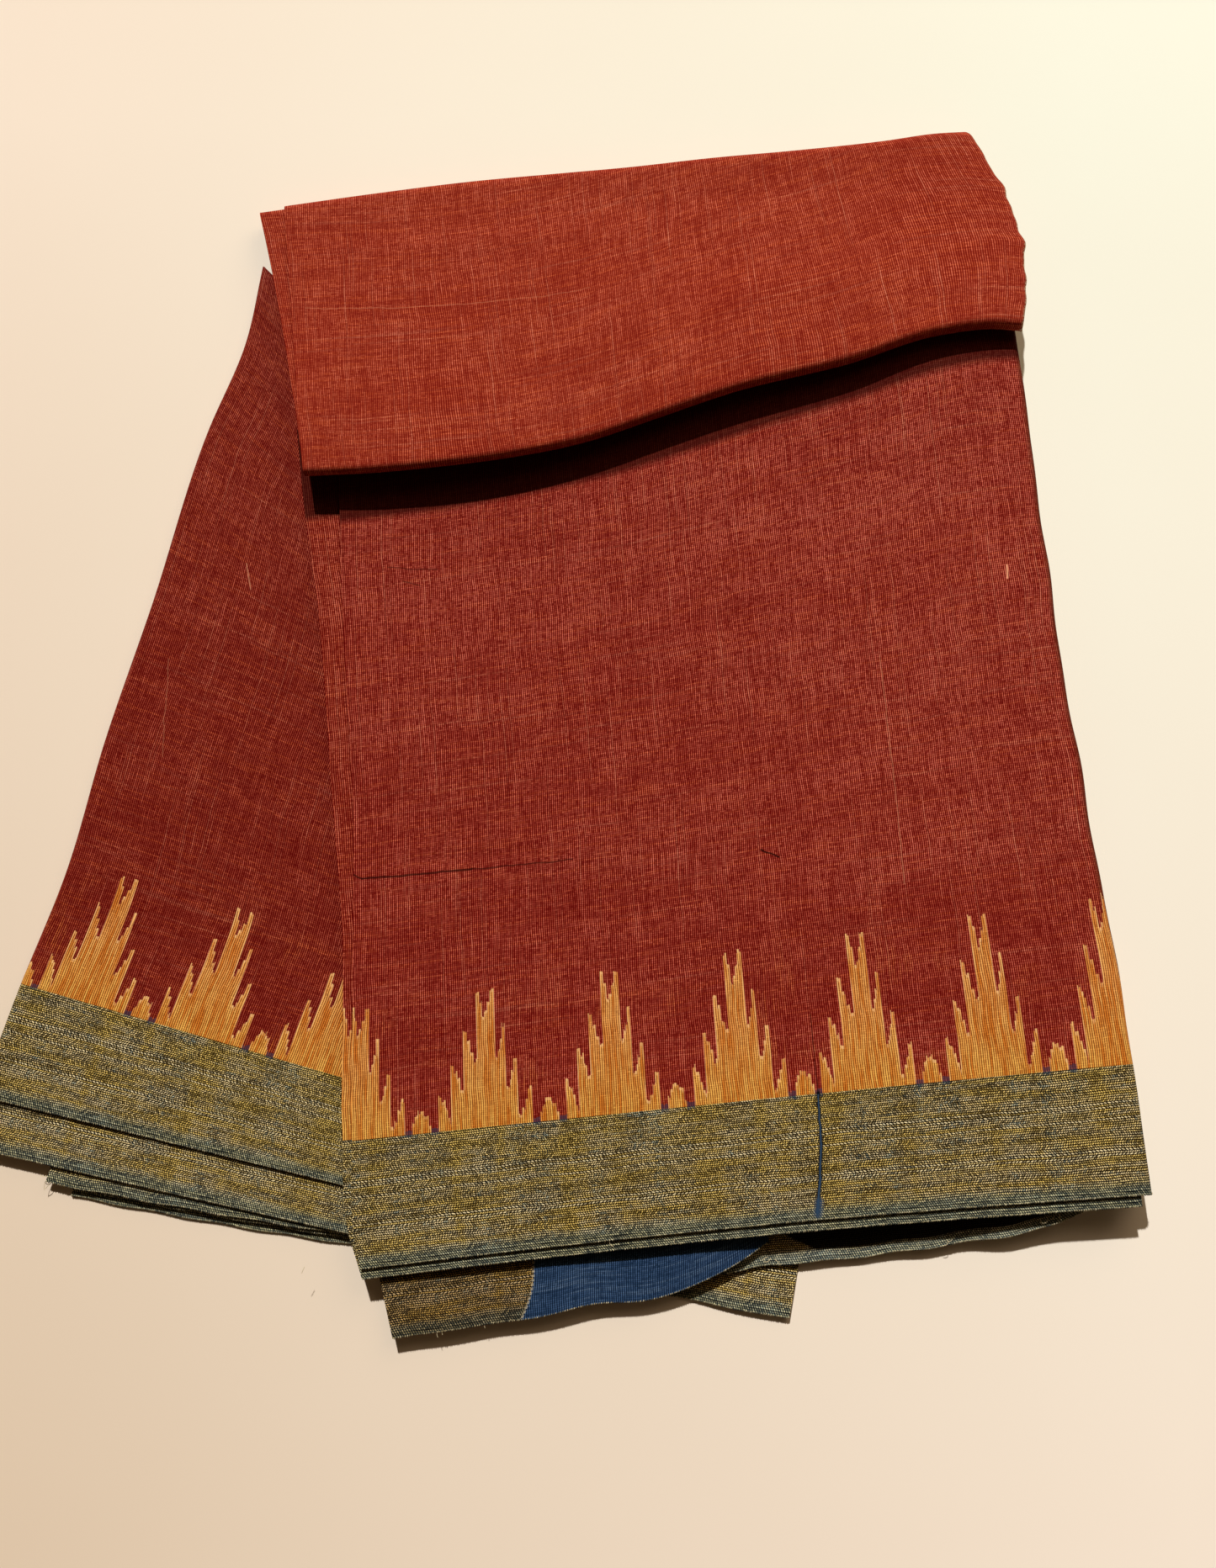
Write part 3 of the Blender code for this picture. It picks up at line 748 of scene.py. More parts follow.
# Each stop is a place and a grey or a colour
def ramp(value, *stops, kind="LINEAR"):
    made = put("ValToRGB", {0: value})
    made.node.color_ramp.interpolation = kind
    points = made.node.color_ramp.elements
    for place, shade in stops[2:]:
        points.new(place)
    for point, (place, shade) in zip(points, stops):
        point.position = place
    for point, (place, shade) in zip(points, stops):
        point.color = (*shade, 1) if isinstance(shade, tuple) else (shade, shade, shade, 1)
    return made


# A shared effect: a place or numbers go in, masks and colours come out
def openGroup(name, **inputs):
    tree = bpy.data.node_groups.new(name, "ShaderNodeTree")
    for title, value in inputs.items():
        kind = "NodeSocketVector" if value is None else "NodeSocketFloat"
        socket = tree.interface.new_socket(name=title, in_out="INPUT", socket_type=kind)
        if value is not None:
            socket.default_value = value
    outputs = tree.nodes.new("NodeGroupInput").outputs
    return [Varied(outputs[title]) for title in inputs]


def closeGroup(**outputs):
    tree = next(iter(outputs.values())).tree
    for title in outputs:
        kind = "NodeSocketColor" if title == "Color" else "NodeSocketFloat"
        tree.interface.new_socket(name=title, in_out="OUTPUT", socket_type=kind)
    sink = tree.nodes.new("NodeGroupOutput")
    for title, value in outputs.items():
        plug(sink.inputs[title], value)
    return tree


def group(made, **inputs):
    tree = next(value.tree for value in inputs.values() if isinstance(value, Varied))
    node = tree.nodes.new("ShaderNodeGroup")
    node.node_tree = made
    for title, value in inputs.items():
        plug(node.inputs[title], value)
    return {socket.name: Varied(socket) for socket in node.outputs}


# The plain weave: thin warp lines, broken up where the weft covers them. Threads is the place on
# the cloth in metres, and so are the lengths here.
weave = {
    "pitch": 0.00108,
    "wander": 2.0,
    "dash": 0.0030,
    "longDash": 0.015,
    "streak": 0.024,
    "slub": 0.11,
    "warpLight": 0.84,
    "weftLight": 0.42,
    "apart": 3.7,
}


def weaveGroup():
    threads, pitch = openGroup("handloomWeave", Threads=None, Pitch=weave["pitch"])
    u, v, flat = split(threads)
    warpAt = scaled(noise(u * 30, v * 45, 1.0, 1.0), weave["wander"], u / pitch)
    weftAt = scaled(noise(u * 45, v * 30, 1.0, 7.0), weave["wander"], v / pitch)
    warpIndex = calc("FLOOR", warpAt) * weave["apart"]
    weftIndex = calc("FLOOR", weftAt) * weave["apart"]
    warpWave = wave(warpAt)
    weftWave = wave(weftAt)
    warpDash = noise(warpIndex, v / weave["dash"], 2.0, 11.0)
    weftDash = noise(u / weave["dash"], weftIndex, 2.0, 13.0)
    longer = ramp(noise(warpIndex, v / weave["longDash"], 2.0, 17.0), (0.36, 0.90), (0.60, 1.06))
    over = put("TexWhiteNoise", {"Vector": joined(warpIndex, weftIndex)})
    warpDash = ramp(warpDash, (0.40, 0.92), (0.56, 1.0)) * longer * scaled(over, 0.36, 0.72)
    weftDash = ramp(weftDash, (0.40, 0.1), (0.66, 1.0)) * scaled(over, -0.70, 1.15)
    weftLine = weftWave * weftWave * weftDash * weave["weftLight"]
    crossed = scaled(warpWave * warpWave * warpDash, weave["warpLight"], weftLine)
    warpSlub = noise(warpIndex * 1.7, v / weave["slub"], 1.0, 21.0)
    weftSlub = noise(u / weave["slub"], weftIndex * 1.7, 1.0, 23.0)
    return closeGroup(
        Height=calc("MAXIMUM", warpWave, weftWave),
        Light=clamped(scaled(crossed, 1.9, -0.72)),
        Warp=noise(warpIndex, v / weave["streak"], 2.0, 3.0),
        Weft=noise(u / weave["streak"], weftIndex, 2.0, 5.0),
        WarpSlub=ramp(warpSlub, (0.60, 0.0), (0.76, 0.45)),
        WeftSlub=ramp(weftSlub, (0.60, 0.0), (0.76, 0.40)),
    )


# The stepped temple spires, charted thread by thread: offset from the middle of a spire and its
# height there, both in millimetres. The other lengths are in metres.
temple = {
    "repeat": 0.0640,
    "tallest": 0.080,
    "outline": 0.0005,
    "tip": 0.0016,
    "fray": 0.008,
    "fade": 0.085,
    "line": 0.0004,
    "spot": 0.0032,
    "right": (
        (0.0, 59.9), (1.0, 65.0), (2.4, 71.4), (4.7, 36.1), (5.9, 40.0), (7.1, 44.6), (8.2, 52.7),
        (9.7, 20.0), (11.6, 22.5), (12.3, 27.2), (13.6, 34.0), (15.5, 4.7), (17.3, 8.1),
        (18.9, 13.2), (20.5, 18.7), (22.5, 0.0), (26.2, 6.0), (27.4, 9.4), (29.0, 11.9),
    ),
    "left": (
        (0.0, 59.9), (0.4, 57.0), (1.6, 65.9), (2.8, 71.0), (4.6, 35.3), (6.3, 39.5), (7.9, 45.5),
        (9.6, 51.9), (11.6, 20.4), (13.3, 26.4), (14.7, 31.0), (16.4, 34.9), (18.1, 4.3),
        (18.7, 7.2), (19.8, 11.5), (21.0, 15.7), (22.9, 19.6), (24.5, 0.0), (28.3, 3.8),
        (29.5, 9.4),
    ),
}


def templeHeightGroup():
    (u,) = openGroup("templeHeight", U=0.0)
    repeat, tallest = temple["repeat"], temple["tallest"]
    offset = calc("FRACT", scaled(u, 1 / repeat, 0.5)) - 0.5
    share = abs(offset) * 2.0
    heights = []
    for side in ("left", "right"):
        stops = [(mm * 0.002 / repeat, high * 0.001 / tallest) for mm, high in temple[side]]
        heights.append(ramp(share, *stops, kind="CONSTANT"))
    return closeGroup(Height=mixed(offset > 0.0, *heights) * tallest)


# Outputs: inside a spire, its pale outline, the field close by, and the dark spots between spires
def templeGroup():
    u, up, phase, ragged = openGroup("templeSpires", U=0.0, Above=0.0, Phase=0.0, Fray=0.5)
    moved = u - phase
    fray = scaled(ragged, temple["fray"], -temple["fray"] / 2)
    steps = (0.0, -temple["outline"], temple["outline"])
    height, before, after = (group(templeHeightTree, U=moved + step)["Height"] for step in steps)
    tall = height > 0.001
    above = up > 0.0
    frayed = height + fray
    inside = (up < frayed) * (tall * above)
    beside = up > calc("MINIMUM", before, after) + fray
    atTip = up > frayed - temple["tip"]
    onLine = abs(up - temple["line"]) + ragged * 0.003 < temple["spot"]
    return closeGroup(
        Inside=inside,
        Edge=inside * calc("MAXIMUM", beside, atTip),
        Near=clamped(1.0 - up / temple["fade"]) * above,
        Spot=(1.0 - tall) * onLine,
    )


# The border: rows of pale stitches on a dark ground, in mustard and grey bands, and a cooler
# twill next to the selvedge. The lengths are in metres.
border = {
    "stitch": 0.00118,
    "row": 0.00104,
    "herringbone": 0.0064,
    "chevron": 0.0026,
    "cool": 0.0055,
    "twill": 0.0050,
    "twillPitch": 0.0020,
    "grooveAt": 0.0018,
    "groove": 0.0005,
    "cream": (0.98, 0.78, 0.44),
    "blueGrey": (0.58, 0.60, 0.46),
    "mustard": (0.98, 0.68, 0.18),
    "strong": (1.0, 0.84, 0.50),
    "selvedge": (0.56, 0.64, 0.46),
    "ground": (0.003, 0.002, 0.0),
    "mustardGround": (0.018, 0.008, 0.0),
    "blueGround": (0.004, 0.008, 0.009),
    "selvedgeGround": (0.003, 0.010, 0.014),
    "paintedGrooveShade": (0.004, 0.005, 0.005),
}


def borderGroup():
    (threads,) = openGroup("stitchedBorder", Threads=None)
    u, v, flat = split(threads)
    rowAt = scaled(noise(u * 30, v * 60, 2.0, 2.0), 2.2, v / border["row"])
    row = calc("FLOOR", rowAt)
    stitchAt = scaled(noise(u * 60, v * 25, 2.0, 4.0), 2.0, u / border["stitch"])
    rowOwn = chance(row)
    strong = rowOwn < ramp(v * 16.0, (0.13, 0.0), (0.24, 0.16), (0.64, 0.20), (0.80, 0.04))
    stitchAt = stitchAt * scaled(strong, -0.30, 1.0) * scaled(rowOwn, 0.16, 0.92)
    nudge = noise(u * 420, row * 7.3, 2.0, 8.0)
    stitchAt = scaled(nudge, 0.7, scaled(row, 0.5, stitchAt))
    turned = calc("FRACT", v / border["herringbone"]) < 0.5
    stitchAt = scaled(calc("FRACT", rowAt), scaled(turned, 1.6, -0.8), stitchAt)
    rowWave = wave(rowAt)
    own = put("TexWhiteNoise", {"Vector": joined(calc("FLOOR", stitchAt), row)}, 1)
    sizePick, mustardPick, bluePick = split(own, "SeparateColor")
    patches = ramp(noise(u * 60, v * 160, 3.0, 6.0), (0.35, 0.66), (0.62, 1.08))
    stripes = ramp(noise(u * 110, v * 9, 3.0, 12.0), (0.34, 0.84), (0.62, 1.06))
    # Chevrons: the stitches of a row follow a slant that turns with each half of the herringbone
    slant = u / border["chevron"] + v / border["chevron"] * scaled(turned, 2.0, -1.0)
    chevron = wave(scaled(nudge, 1.2, slant))
    size = scaled(sizePick, 1.10, 0.30) * scaled(rowOwn, 0.60, 0.74) * scaled(chevron, 0.80, 0.50)
    size = size * (patches * stripes)
    dot = clamped(scaled(rowWave * wave(stitchAt), 8.0, -4.10))
    dot = clamped(dot * size * scaled(strong, 0.6, 1.0))
    twill = wave(u / border["stitch"] + v / border["twillPitch"]) * scaled(rowWave, 0.4, 0.6)
    twill = clamped(scaled(twill, 4.6, -2.9)) * size
    dot = put("Mix", {0: (v < border["twill"]) * 0.85, 2: dot, 3: twill})
    mustard = ramp(noise(u * 26, v * 280, 3.0, 9.0), (0.38, 0.0), (0.62, 0.8))
    mustard = clamped(scaled(mustardPick, 0.25, mustard))
    barred = noise(u * 70, v * 6, 2.0, 27.0)
    mustard = clamped(mustard + ramp(barred, (0.52, 0.0), (0.66, 0.55)))
    bluish = bluePick < ramp(barred, (0.34, 0.45), (0.46, 0.04))
    cool = clamped(scaled(border["cool"] - v, 220.0, 0.5))
    pale = mixed(bluish, border["cream"], border["blueGrey"])
    pale = mixed(mustard, pale, border["mustard"])
    pale = mixed(strong * 0.7, pale, border["strong"])
    pale = mixed(cool * 0.6, pale, border["selvedge"])
    ground = mixed(mustard, border["ground"], border["mustardGround"])
    ground = mixed(bluish, ground, border["blueGround"])
    ground = mixed(cool, ground, border["selvedgeGround"])
    # Painted shade: a dark line just inside the selvedge, under the rolled edge
    groove = clamped(1.2 - abs(v - border["grooveAt"]) / border["groove"])
    groove = groove * ramp(noise(u * 90, 0.0, 3.0, 16.0), (0.40, 0.35), (0.58, 1.0))
    return closeGroup(Color=mixed(groove, mixed(dot, ground, pale), border["paintedGrooveShade"]))


# One pulled thread, slub or crease: a soft line between two places on the cloth
def markGroup():
    inputs = {"Threads": None, "Start": None, "End": None, "Half": 0.0004}
    threads, start, end, half = openGroup("threadMark", **inputs)
    whole = vectorCalc("SUBTRACT", end, start)
    here = vectorCalc("SUBTRACT", threads, start)
    reach = vectorCalc("DOT_PRODUCT", here, whole, "Value")
    share = clamped(reach / vectorCalc("DOT_PRODUCT", whole, whole, "Value"))
    apart = vectorCalc("DISTANCE", here, vectorCalc("SCALE", whole, share), "Value")
    return closeGroup(Mask=clamped(1.5 - apart / half))


templeHeightTree = templeHeightGroup()
weaveTree = weaveGroup()
templeTree = templeGroup()
borderTree = borderGroup()
markTree = markGroup()


# The place on the cloth, or on a thread, comes from the piece's own UV map
def newMaterial(name, roughness, sheen, uvMap=None):
    material = bpy.data.materials.new(name)
    material.use_nodes = True
    tree = material.node_tree
    shader = tree.nodes["Principled BSDF"]
    shader.inputs["Roughness"].default_value = roughness
    shader.inputs["Sheen Weight"].default_value = sheen
    shader.inputs["Sheen Roughness"].default_value = 0.5
    shader.inputs["Specular IOR Level"].default_value = 0.03
    if uvMap:
        return material, shader, put("UVMap", tree=tree, uv_map=uvMap)
    return material, shader, put("TexCoord", out="Object", tree=tree)


def finished(material, shader, colour, height=None, distance=0.0):
    plug(shader.inputs["Base Color"], colour)
    if height:
        bump = put("Bump", {"Height": height, "Distance": distance, "Strength": 1.0})
        plug(shader.inputs["Normal"], bump)
    return material


# The field's dyes for each stretch of cloth: dark, light, contrast and shade
fieldDyes = {
    "frontCloth": ((0.112, 0.0, 0.0), (0.72, 0.125, 0.072), 1.05, 0.965),
    "frontSecondCloth": ((0.112, 0.0, 0.0), (0.70, 0.125, 0.062), 1.05, 1.0),
    "flapWeave": ((0.145, 0.0006, 0.0), (0.68, 0.124, 0.054), 0.74, 0.93),
    "backCloth": ((0.098, 0.0, 0.0), (0.62, 0.110, 0.060), 1.0, 0.80),
}
dyes = {
    "weftTint": (0.66, 0.110, 0.020),
    "slub": (0.80, 0.30, 0.18),
    "crest": (0.80, 0.30, 0.22),
    "spireDark": (0.15, 0.020, 0.0),
    "spireLight": (1.0, 0.47, 0.125),
    "spireGold": (1.0, 0.53, 0.105),
    "spireDeep": (0.72, 0.19, 0.016),
    "spireEdge": (1.0, 0.58, 0.26),
    "spot": (0.02, 0.035, 0.06),
    "warm": (0.66, 0.18, 0.03),
    "foldShade": (0.07, 0.018, 0.006),
    "paintedCavityShade": (0.03, 0.002, 0.001),
    "foldWear": (0.22, 0.06, 0.025),
    "foldRubbed": (0.80, 0.62, 0.40),
    "paintedHollowShade": (0.004, 0.003, 0.002),
}
# Where each leaf's border ends, up from its selvedge, how that line slants, and where the spires
# start, in metres
leafBorders = {
    "frontCloth": (0.0616, 0.012, 0.0040),
    "frontSecondCloth": (0.0666, 0.012, 0.0040),
    "flapWeave": (0.0616, 0.012, 0.0040),
    "backCloth": (0.0570, 0.0, 0.0348),
}
# How the leaves are worn, and where shade is painted under the flap's lip and on the front's right
# fold: the places are in metres from the left edge and the selvedge
leaf = {
    "cavityShadeFrom": {"frontCloth": 0.3860, "frontSecondCloth": 0.3930},
    "cavityShadeSharp": 220.0,
    "foldFrom": 0.3885,
    "foldSharp": 260.0,
    "rubbing": (420.0, -164.4),
    "spireGrowth": (0.43, 0.90),
    "goldenFade": 28.0,
    "sway": 0.0022,
    "unevenScale": 420,
    "uneven": 0.00010,
    "borderUneven": 0.00012,
}

# Pulled threads, slubs and creases of each leaf: start and end across the leaf and up from the
# selvedge in millimetres, half width, colour and strength
paintedPleatShade = (0.004, 0.004, 0.006)
darkThread = (0.025, 0.002, 0.001)
paleThread = (0.85, 0.36, 0.20)
blueCrease = (0.030, 0.060, 0.110)
marks = {
    "frontCloth": (
        ((4.5, 192.0), (62.7, 189.3), 0.50, darkThread, 0.85),
        ((62.7, 189.3), (116.4, 186.8), 0.36, darkThread, 0.7),
        ((0.5, 195.0), (4.5, 192.0), 0.45, darkThread, 0.8),
        ((216.8, 177.4), (225.2, 172.0), 0.42, darkThread, 0.95),
        ((292.1, 263.5), (291.9, 212.5), 0.28, paleThread, 0.22),
        ((291.9, 212.5), (289.6, 151.1), 0.28, paleThread, 0.22),
        ((369.1, 296.0), (368.5, 289.8), 0.50, paleThread, 0.9),
        ((25.6, 359.7), (53.7, 355.7), 0.30, darkThread, 0.6),
        ((34.7, 351.6), (43.9, 348.1), 0.30, darkThread, 0.6),
        ((233.3, 96.0), (233.1, 60.0), 0.28, darkThread, 0.7),
        # Painted shade on both sides of the pinched pleat, with the blue ground showing in it
        ((233.1, 59.0), (232.9, 34.6), 0.85, paintedPleatShade, 1.0),
        ((232.9, 34.6), (230.7, 19.0), 0.95, paintedPleatShade, 1.0),
        ((230.7, 19.0), (226.5, 3.0), 1.05, paintedPleatShade, 1.0),
        ((233.1, 58.0), (232.9, 34.6), 0.30, blueCrease, 1.0),
        ((232.9, 34.6), (230.7, 19.0), 0.34, blueCrease, 1.0),
        ((230.7, 19.0), (226.5, 3.0), 0.42, blueCrease, 1.0),
        ((228.4, 8.0), (226.6, 2.5), 1.90, blueCrease, 0.8),
    ),
    "flapWeave": (
        ((8.0, 585.0), (90.0, 580.3), 0.28, paleThread, 0.16),
        ((90.0, 580.3), (166.2, 573.7), 0.26, paleThread, 0.14),
    ),
    "backCloth": (
        ((46.8, 309.7), (52.8, 296.5), 0.35, paleThread, 0.4),
        ((20.0, 240.0), (34.0, 190.0), 0.25, paleThread, 0.16),
    ),
}


def unevenAt(u, v):
    return noise(u * leaf["unevenScale"], v * leaf["unevenScale"], 1.0, 51.0)


def inMetres(place):
    return (place[0] / 1000, place[1] / 1000, 0)


def fieldColour(name, woven, cloud, u, v):
    darkDye, lightDye, contrast, shade = fieldDyes[name]
    light = clamped(scaled(woven["Light"] - 0.25, contrast * shade, 0.25 * shade))
    tone = ramp(cloud, (0.32, 0.90), (0.68, 1.05))
    tone = tone * ramp(woven["Warp"], (0.36, 0.72), (0.64, 1.18))
    tone = tone * ramp(woven["Weft"], (0.36, 0.82), (0.64, 1.12))
    tone = tone * ramp(noise(u * 5, v * 42, 1.5, 18.0), (0.36, 0.86), (0.62, 1.06))
    # Brighter towards the right and the far end: painted light falloff of the lamps, together with
    # some real fading
    fadingAndPaintedLight = scaled(u, 0.28, scaled(v, 0.62, 0.705))
    light = clamped(light * (tone * fadingAndPaintedLight))
    colour = mixed(light, darkDye, lightDye)
    tinted = ramp(woven["Weft"], (0.48, 0.0), (0.66, 0.60))
    colour = mixed(tinted * light, colour, dyes["weftTint"])
    colour = mixed(clamped(scaled(light, 2.2, -1.1)) * 0.30, colour, dyes["crest"])
    slub = calc("MAXIMUM", woven["WarpSlub"], woven["WeftSlub"]) * light
    return light, mixed(slub, colour, dyes["slub"])


def leafMaterial(name):
    material, shader, threads = newMaterial(name, 0.88, 0.0, "threads")
    u, v, flat = split(threads)
    borderHeight, slope, phase = leafBorders[name]
    above = scaled(u, slope, v) - borderHeight
    woven = group(weaveTree, Threads=threads)
    cloud = noise(u * 35, v * 28, 1.5, 15.0)
    light, colour = fieldColour(name, woven, cloud, u, v)
    if name in leaf["cavityShadeFrom"]:
        # Painted shade: near-black on the front leaves under the flap's lip, and darker along the
        # rounded right fold as it turns away from the lamp
        paintedCavityShade = scaled(u, -0.035, v) - leaf["cavityShadeFrom"][name]
        folded = clamped(scaled(u, leaf["foldSharp"], -leaf["foldSharp"] * leaf["foldFrom"]))
        colour = mixed(folded * 0.7, colour, dyes["foldShade"])
        colour = mixed(clamped(paintedCavityShade * leaf["cavityShadeSharp"]) * 0.86, colour, dyes["paintedCavityShade"])
    # The spires grow taller towards the right
    taller = above / scaled(u, *leaf["spireGrowth"])
    spires = group(templeTree, U=u, Above=taller, Phase=phase, Fray=woven["Warp"])
    warm = ramp(cloud, (0.50, 0.0), (0.62, 1.0)) * ramp(woven["Warp"], (0.45, 0.1), (0.58, 1.0))
    colour = mixed(spires["Near"] * warm * light, colour, dyes["warm"])
    golden = clamped(1.0 - above * leaf["goldenFade"])
    orange = mixed(golden, dyes["spireLight"], dyes["spireGold"])
    orange = mixed(ramp(woven["Warp"], (0.38, 0.85), (0.60, 0.0)), orange, dyes["spireDeep"])
    orange = mixed(clamped(scaled(woven["Light"], 2.3, 0.14)), dyes["spireDark"], orange)
    colour = mixed(spires["Inside"], colour, orange)
    outlined = spires["Edge"] * ramp(woven["Warp"], (0.42, 0.1), (0.56, 0.5))
    colour = mixed(outlined, colour, dyes["spireEdge"])
    colour = mixed(above < 0.0, colour, group(borderTree, Threads=threads)["Color"])
    colour = mixed(spires["Spot"] * 0.6, colour, dyes["spot"])
    if name == "flapWeave":
        # Worn pale along the right fold
        rubbed = ramp(noise(u * 900, v * 700, 2.0, 41.0), (0.46, 0.0), (0.58, 0.9))
        atFold = clamped(scaled(u, *leaf["rubbing"]))
        colour = mixed(atFold * 0.55, colour, dyes["foldWear"])
        colour = mixed(atFold * rubbed, colour, dyes["foldRubbed"])
    if name in marks:
        sway = scaled(noise(u * 90, v * 90, 2.0, 31.0), leaf["sway"], -leaf["sway"] / 2)
        swayed = joined(u + sway, v + sway)
    for start, end, half, tint, strength in marks.get(name, ()):
        ends = {"Start": inMetres(start), "End": inMetres(end), "Half": half / 1000}
        mask = group(markTree, Threads=swayed, **ends)["Mask"]
        colour = mixed(mask * strength, colour, tint)
    return finished(material, shader, colour, unevenAt(u, v), leaf["uneven"])


def borderMaterial(name, paintedLightGamma, paintedHollowShade):
    material, shader, threads = newMaterial(name, 0.85, 0.1, "threads")
    u, v, flat = split(threads)
    # A gamma below 1 makes the cloth paler: painted light on a layer that lies in the leaf's shadow
    colour = put("Gamma", {0: group(borderTree, Threads=threads)["Color"], 1: paintedLightGamma})
    if paintedHollowShade:
        # Painted shade: dark where it runs in under the leaf, past its open left end
        opening = clamped(1.0 - u / 0.060)
        inside = clamped((v - scaled(opening, 0.030, paintedHollowShade)) * 900.0)
        colour = mixed(inside * 0.96, colour, dyes["paintedHollowShade"])
    return finished(material, shader, colour, unevenAt(u, v), leaf["borderUneven"])


# The indigo end, faded border left of its seam: lengths in metres
tucked = {
    "seam": 0.069,
    "seamCurve": -0.006,
    "curveHeight": 0.022,
    "seamHalf": 0.0006,
    "stitch": 0.0021,
    "dark": (0.003, 0.014, 0.040),
    "light": (0.056, 0.108, 0.215),
    "fleck": (0.20, 0.27, 0.34),
    "faded": (0.62, 0.53, 0.46),
    "thread": (0.72, 0.62, 0.42),
}


def tuckedMaterial():
    material, shader, threads = newMaterial("tuckedCloth", 0.85, 0.1, "threads")
    u, v, flat = split(threads)
    woven = group(weaveTree, Threads=threads)
    mottled = ramp(woven["Weft"], (0.36, 0.70), (0.62, 1.45))
    blue = mixed(clamped(woven["Light"] * mottled), tucked["dark"], tucked["light"])
    fleck = ramp(woven["Weft"], (0.52, 0.0), (0.66, 0.35))
    blue = mixed(fleck * woven["Light"], blue, tucked["fleck"])
    low = clamped(1.0 - v / tucked["curveHeight"])
    seam = scaled(low * low, tucked["seamCurve"], tucked["seam"])
    edge = group(borderTree, Threads=threads)["Color"]
    colour = mixed(u > seam, mixed(1.0, edge, tucked["faded"], "MULTIPLY"), blue)
    stitched = abs(u - seam) < tucked["seamHalf"]
    dash = calc("FRACT", v / tucked["stitch"]) > 0.4
    colour = mixed(stitched * (dash * 0.4), colour, tucked["thread"])
    return finished(material, shader, colour, woven["Height"], 0.0002)


# The sides of the layers that lie between the ones that show
def layerMaterial():
    material, shader, where = newMaterial("layerEdges", 0.9, 0.08)
    x, y, z = split(where)
    ply = scaled(noiseAt(where, 22.0, 2.0), 0.0025, z) / 0.00082
    lap = wave(ply)
    own = ramp(noise(calc("FLOOR", ply) * 5.3, y * 30, 2.0, 2.0), (0.35, 0.0), (0.65, 1.0))
    colour = mixed(own, (0.10, 0.012, 0.008), (0.30, 0.05, 0.03))
    colour = mixed((noiseAt(where, 900.0, 1.0) > 0.56) * 0.5, colour, (0.5, 0.2, 0.12))
    # Painted shade: near-black on the selvedge side, in the hollow under the leaves
    colour = mixed((y < -0.205) * 0.92, colour, (0.008, 0.007, 0.005))
    # Painted shade in the grooves between the plies
    colour = mixed(clamped(1.0 - lap * 1.6), colour, (0.01, 0.002, 0.001))
    return finished(material, shader, colour, lap, 0.0006)


def looseMaterial():
    material, shader, place = newMaterial("looseThread", 0.8, 0.1, "stitches")
    colour = mixed(noiseAt(place, 6.0, 2.0), (0.50, 0.36, 0.16), (0.92, 0.80, 0.52))
    return finished(material, shader, colour)


def loopMaterial():
    material, shader, place = newMaterial("selvedgeStitch", 0.8, 0.1, "stitches")
    stitch, along, flat = split(place)
    clumps = scaled(noise(stitch * 0.16, 0.0, 3.0, 2.0), 2.2, -0.92)
    colour = ramp(
        clamped(scaled(chance(stitch), 0.62, clumps)),
        (0.0, (0.020, 0.024, 0.022)),
        (0.34, (0.10, 0.10, 0.07)),
        (0.55, (0.50, 0.40, 0.20)),
        (0.8, (0.95, 0.82, 0.52)),
    )
    fibre = calc("SINE", (along + flat * 2.0) * 40.0)
    colour = mixed(scaled(fibre, 0.15, 0.15), colour, (0.08, 0.06, 0.04))
    return finished(material, shader, colour, fibre, 0.0001)


def floorMaterial():
    material, shader, where = newMaterial("paleSurface", 0.9, 0.0)
    x, y, z = split(where)
    # Darker and warmer towards the near left, paler towards the far right: painted light falloff of
    # the lamps
    across = clamped(scaled(x, 1.6, 0.5))
    near = mixed(across, (0.80, 0.63, 0.46), (1.0, 0.87, 0.73))
    far = mixed(across, (1.0, 0.86, 0.71), (0.95, 0.97, 0.84))
    colour = mixed(clamped(scaled(y, 1.3, 0.55)), near, far)
    cloudy = mixed(noiseAt(where, 3.0, 4.0), (1.0, 1.0, 1.0), (0.95, 0.93, 0.91))
    return finished(material, shader, mixed(1.0, colour, cloudy, "MULTIPLY"))


leaves = {name: leafMaterial(name) for name in fieldDyes}
borderCloth = borderMaterial("borderCloth", 1.0, 0.0)
# The lower layer gets painted light all over and painted shade in the hollow under the leaf
lowerClothPaintedLight = borderMaterial("lowerClothPaintedLight", 0.80, 0.0048)
tuckedCloth = tuckedMaterial()
layerEdges = layerMaterial()
stitchThread = loopMaterial()
looseThread = looseMaterial()
print("dyes mixed")

laid = {
    "frontPanel": frontSheet("frontPanel", False, 1.0, leaves["frontCloth"]),
    "frontSecondLayer": frontSheet("frontSecondLayer", True, 4.0, leaves["frontSecondCloth"]),
    "flapCloth": flapSheet("flapCloth", False, 2.0, leaves["flapWeave"]),
    "flapSecondLayer": flapSheet("flapSecondLayer", True, 5.0, leaves["flapWeave"]),
    "backPanel": backSheet("backPanel", False, 3.0, leaves["backCloth"]),
    "backSecondLayer": backSheet("backSecondLayer", True, 6.0, borderCloth),
}
for k, name in enumerate(edgeStrips["levels"]):
    laid[name] = edgeStrip(name, k, borderCloth)
laid["tuckedEnd"] = tuckedSheet("tuckedEnd", tuckedCloth)
laid["frontLowerLayer"] = lowerSheet("frontLowerLayer", lowerClothPaintedLight)
laid["underCorner"] = cornerSheet("underCorner", borderCloth)
print("sheets laid")


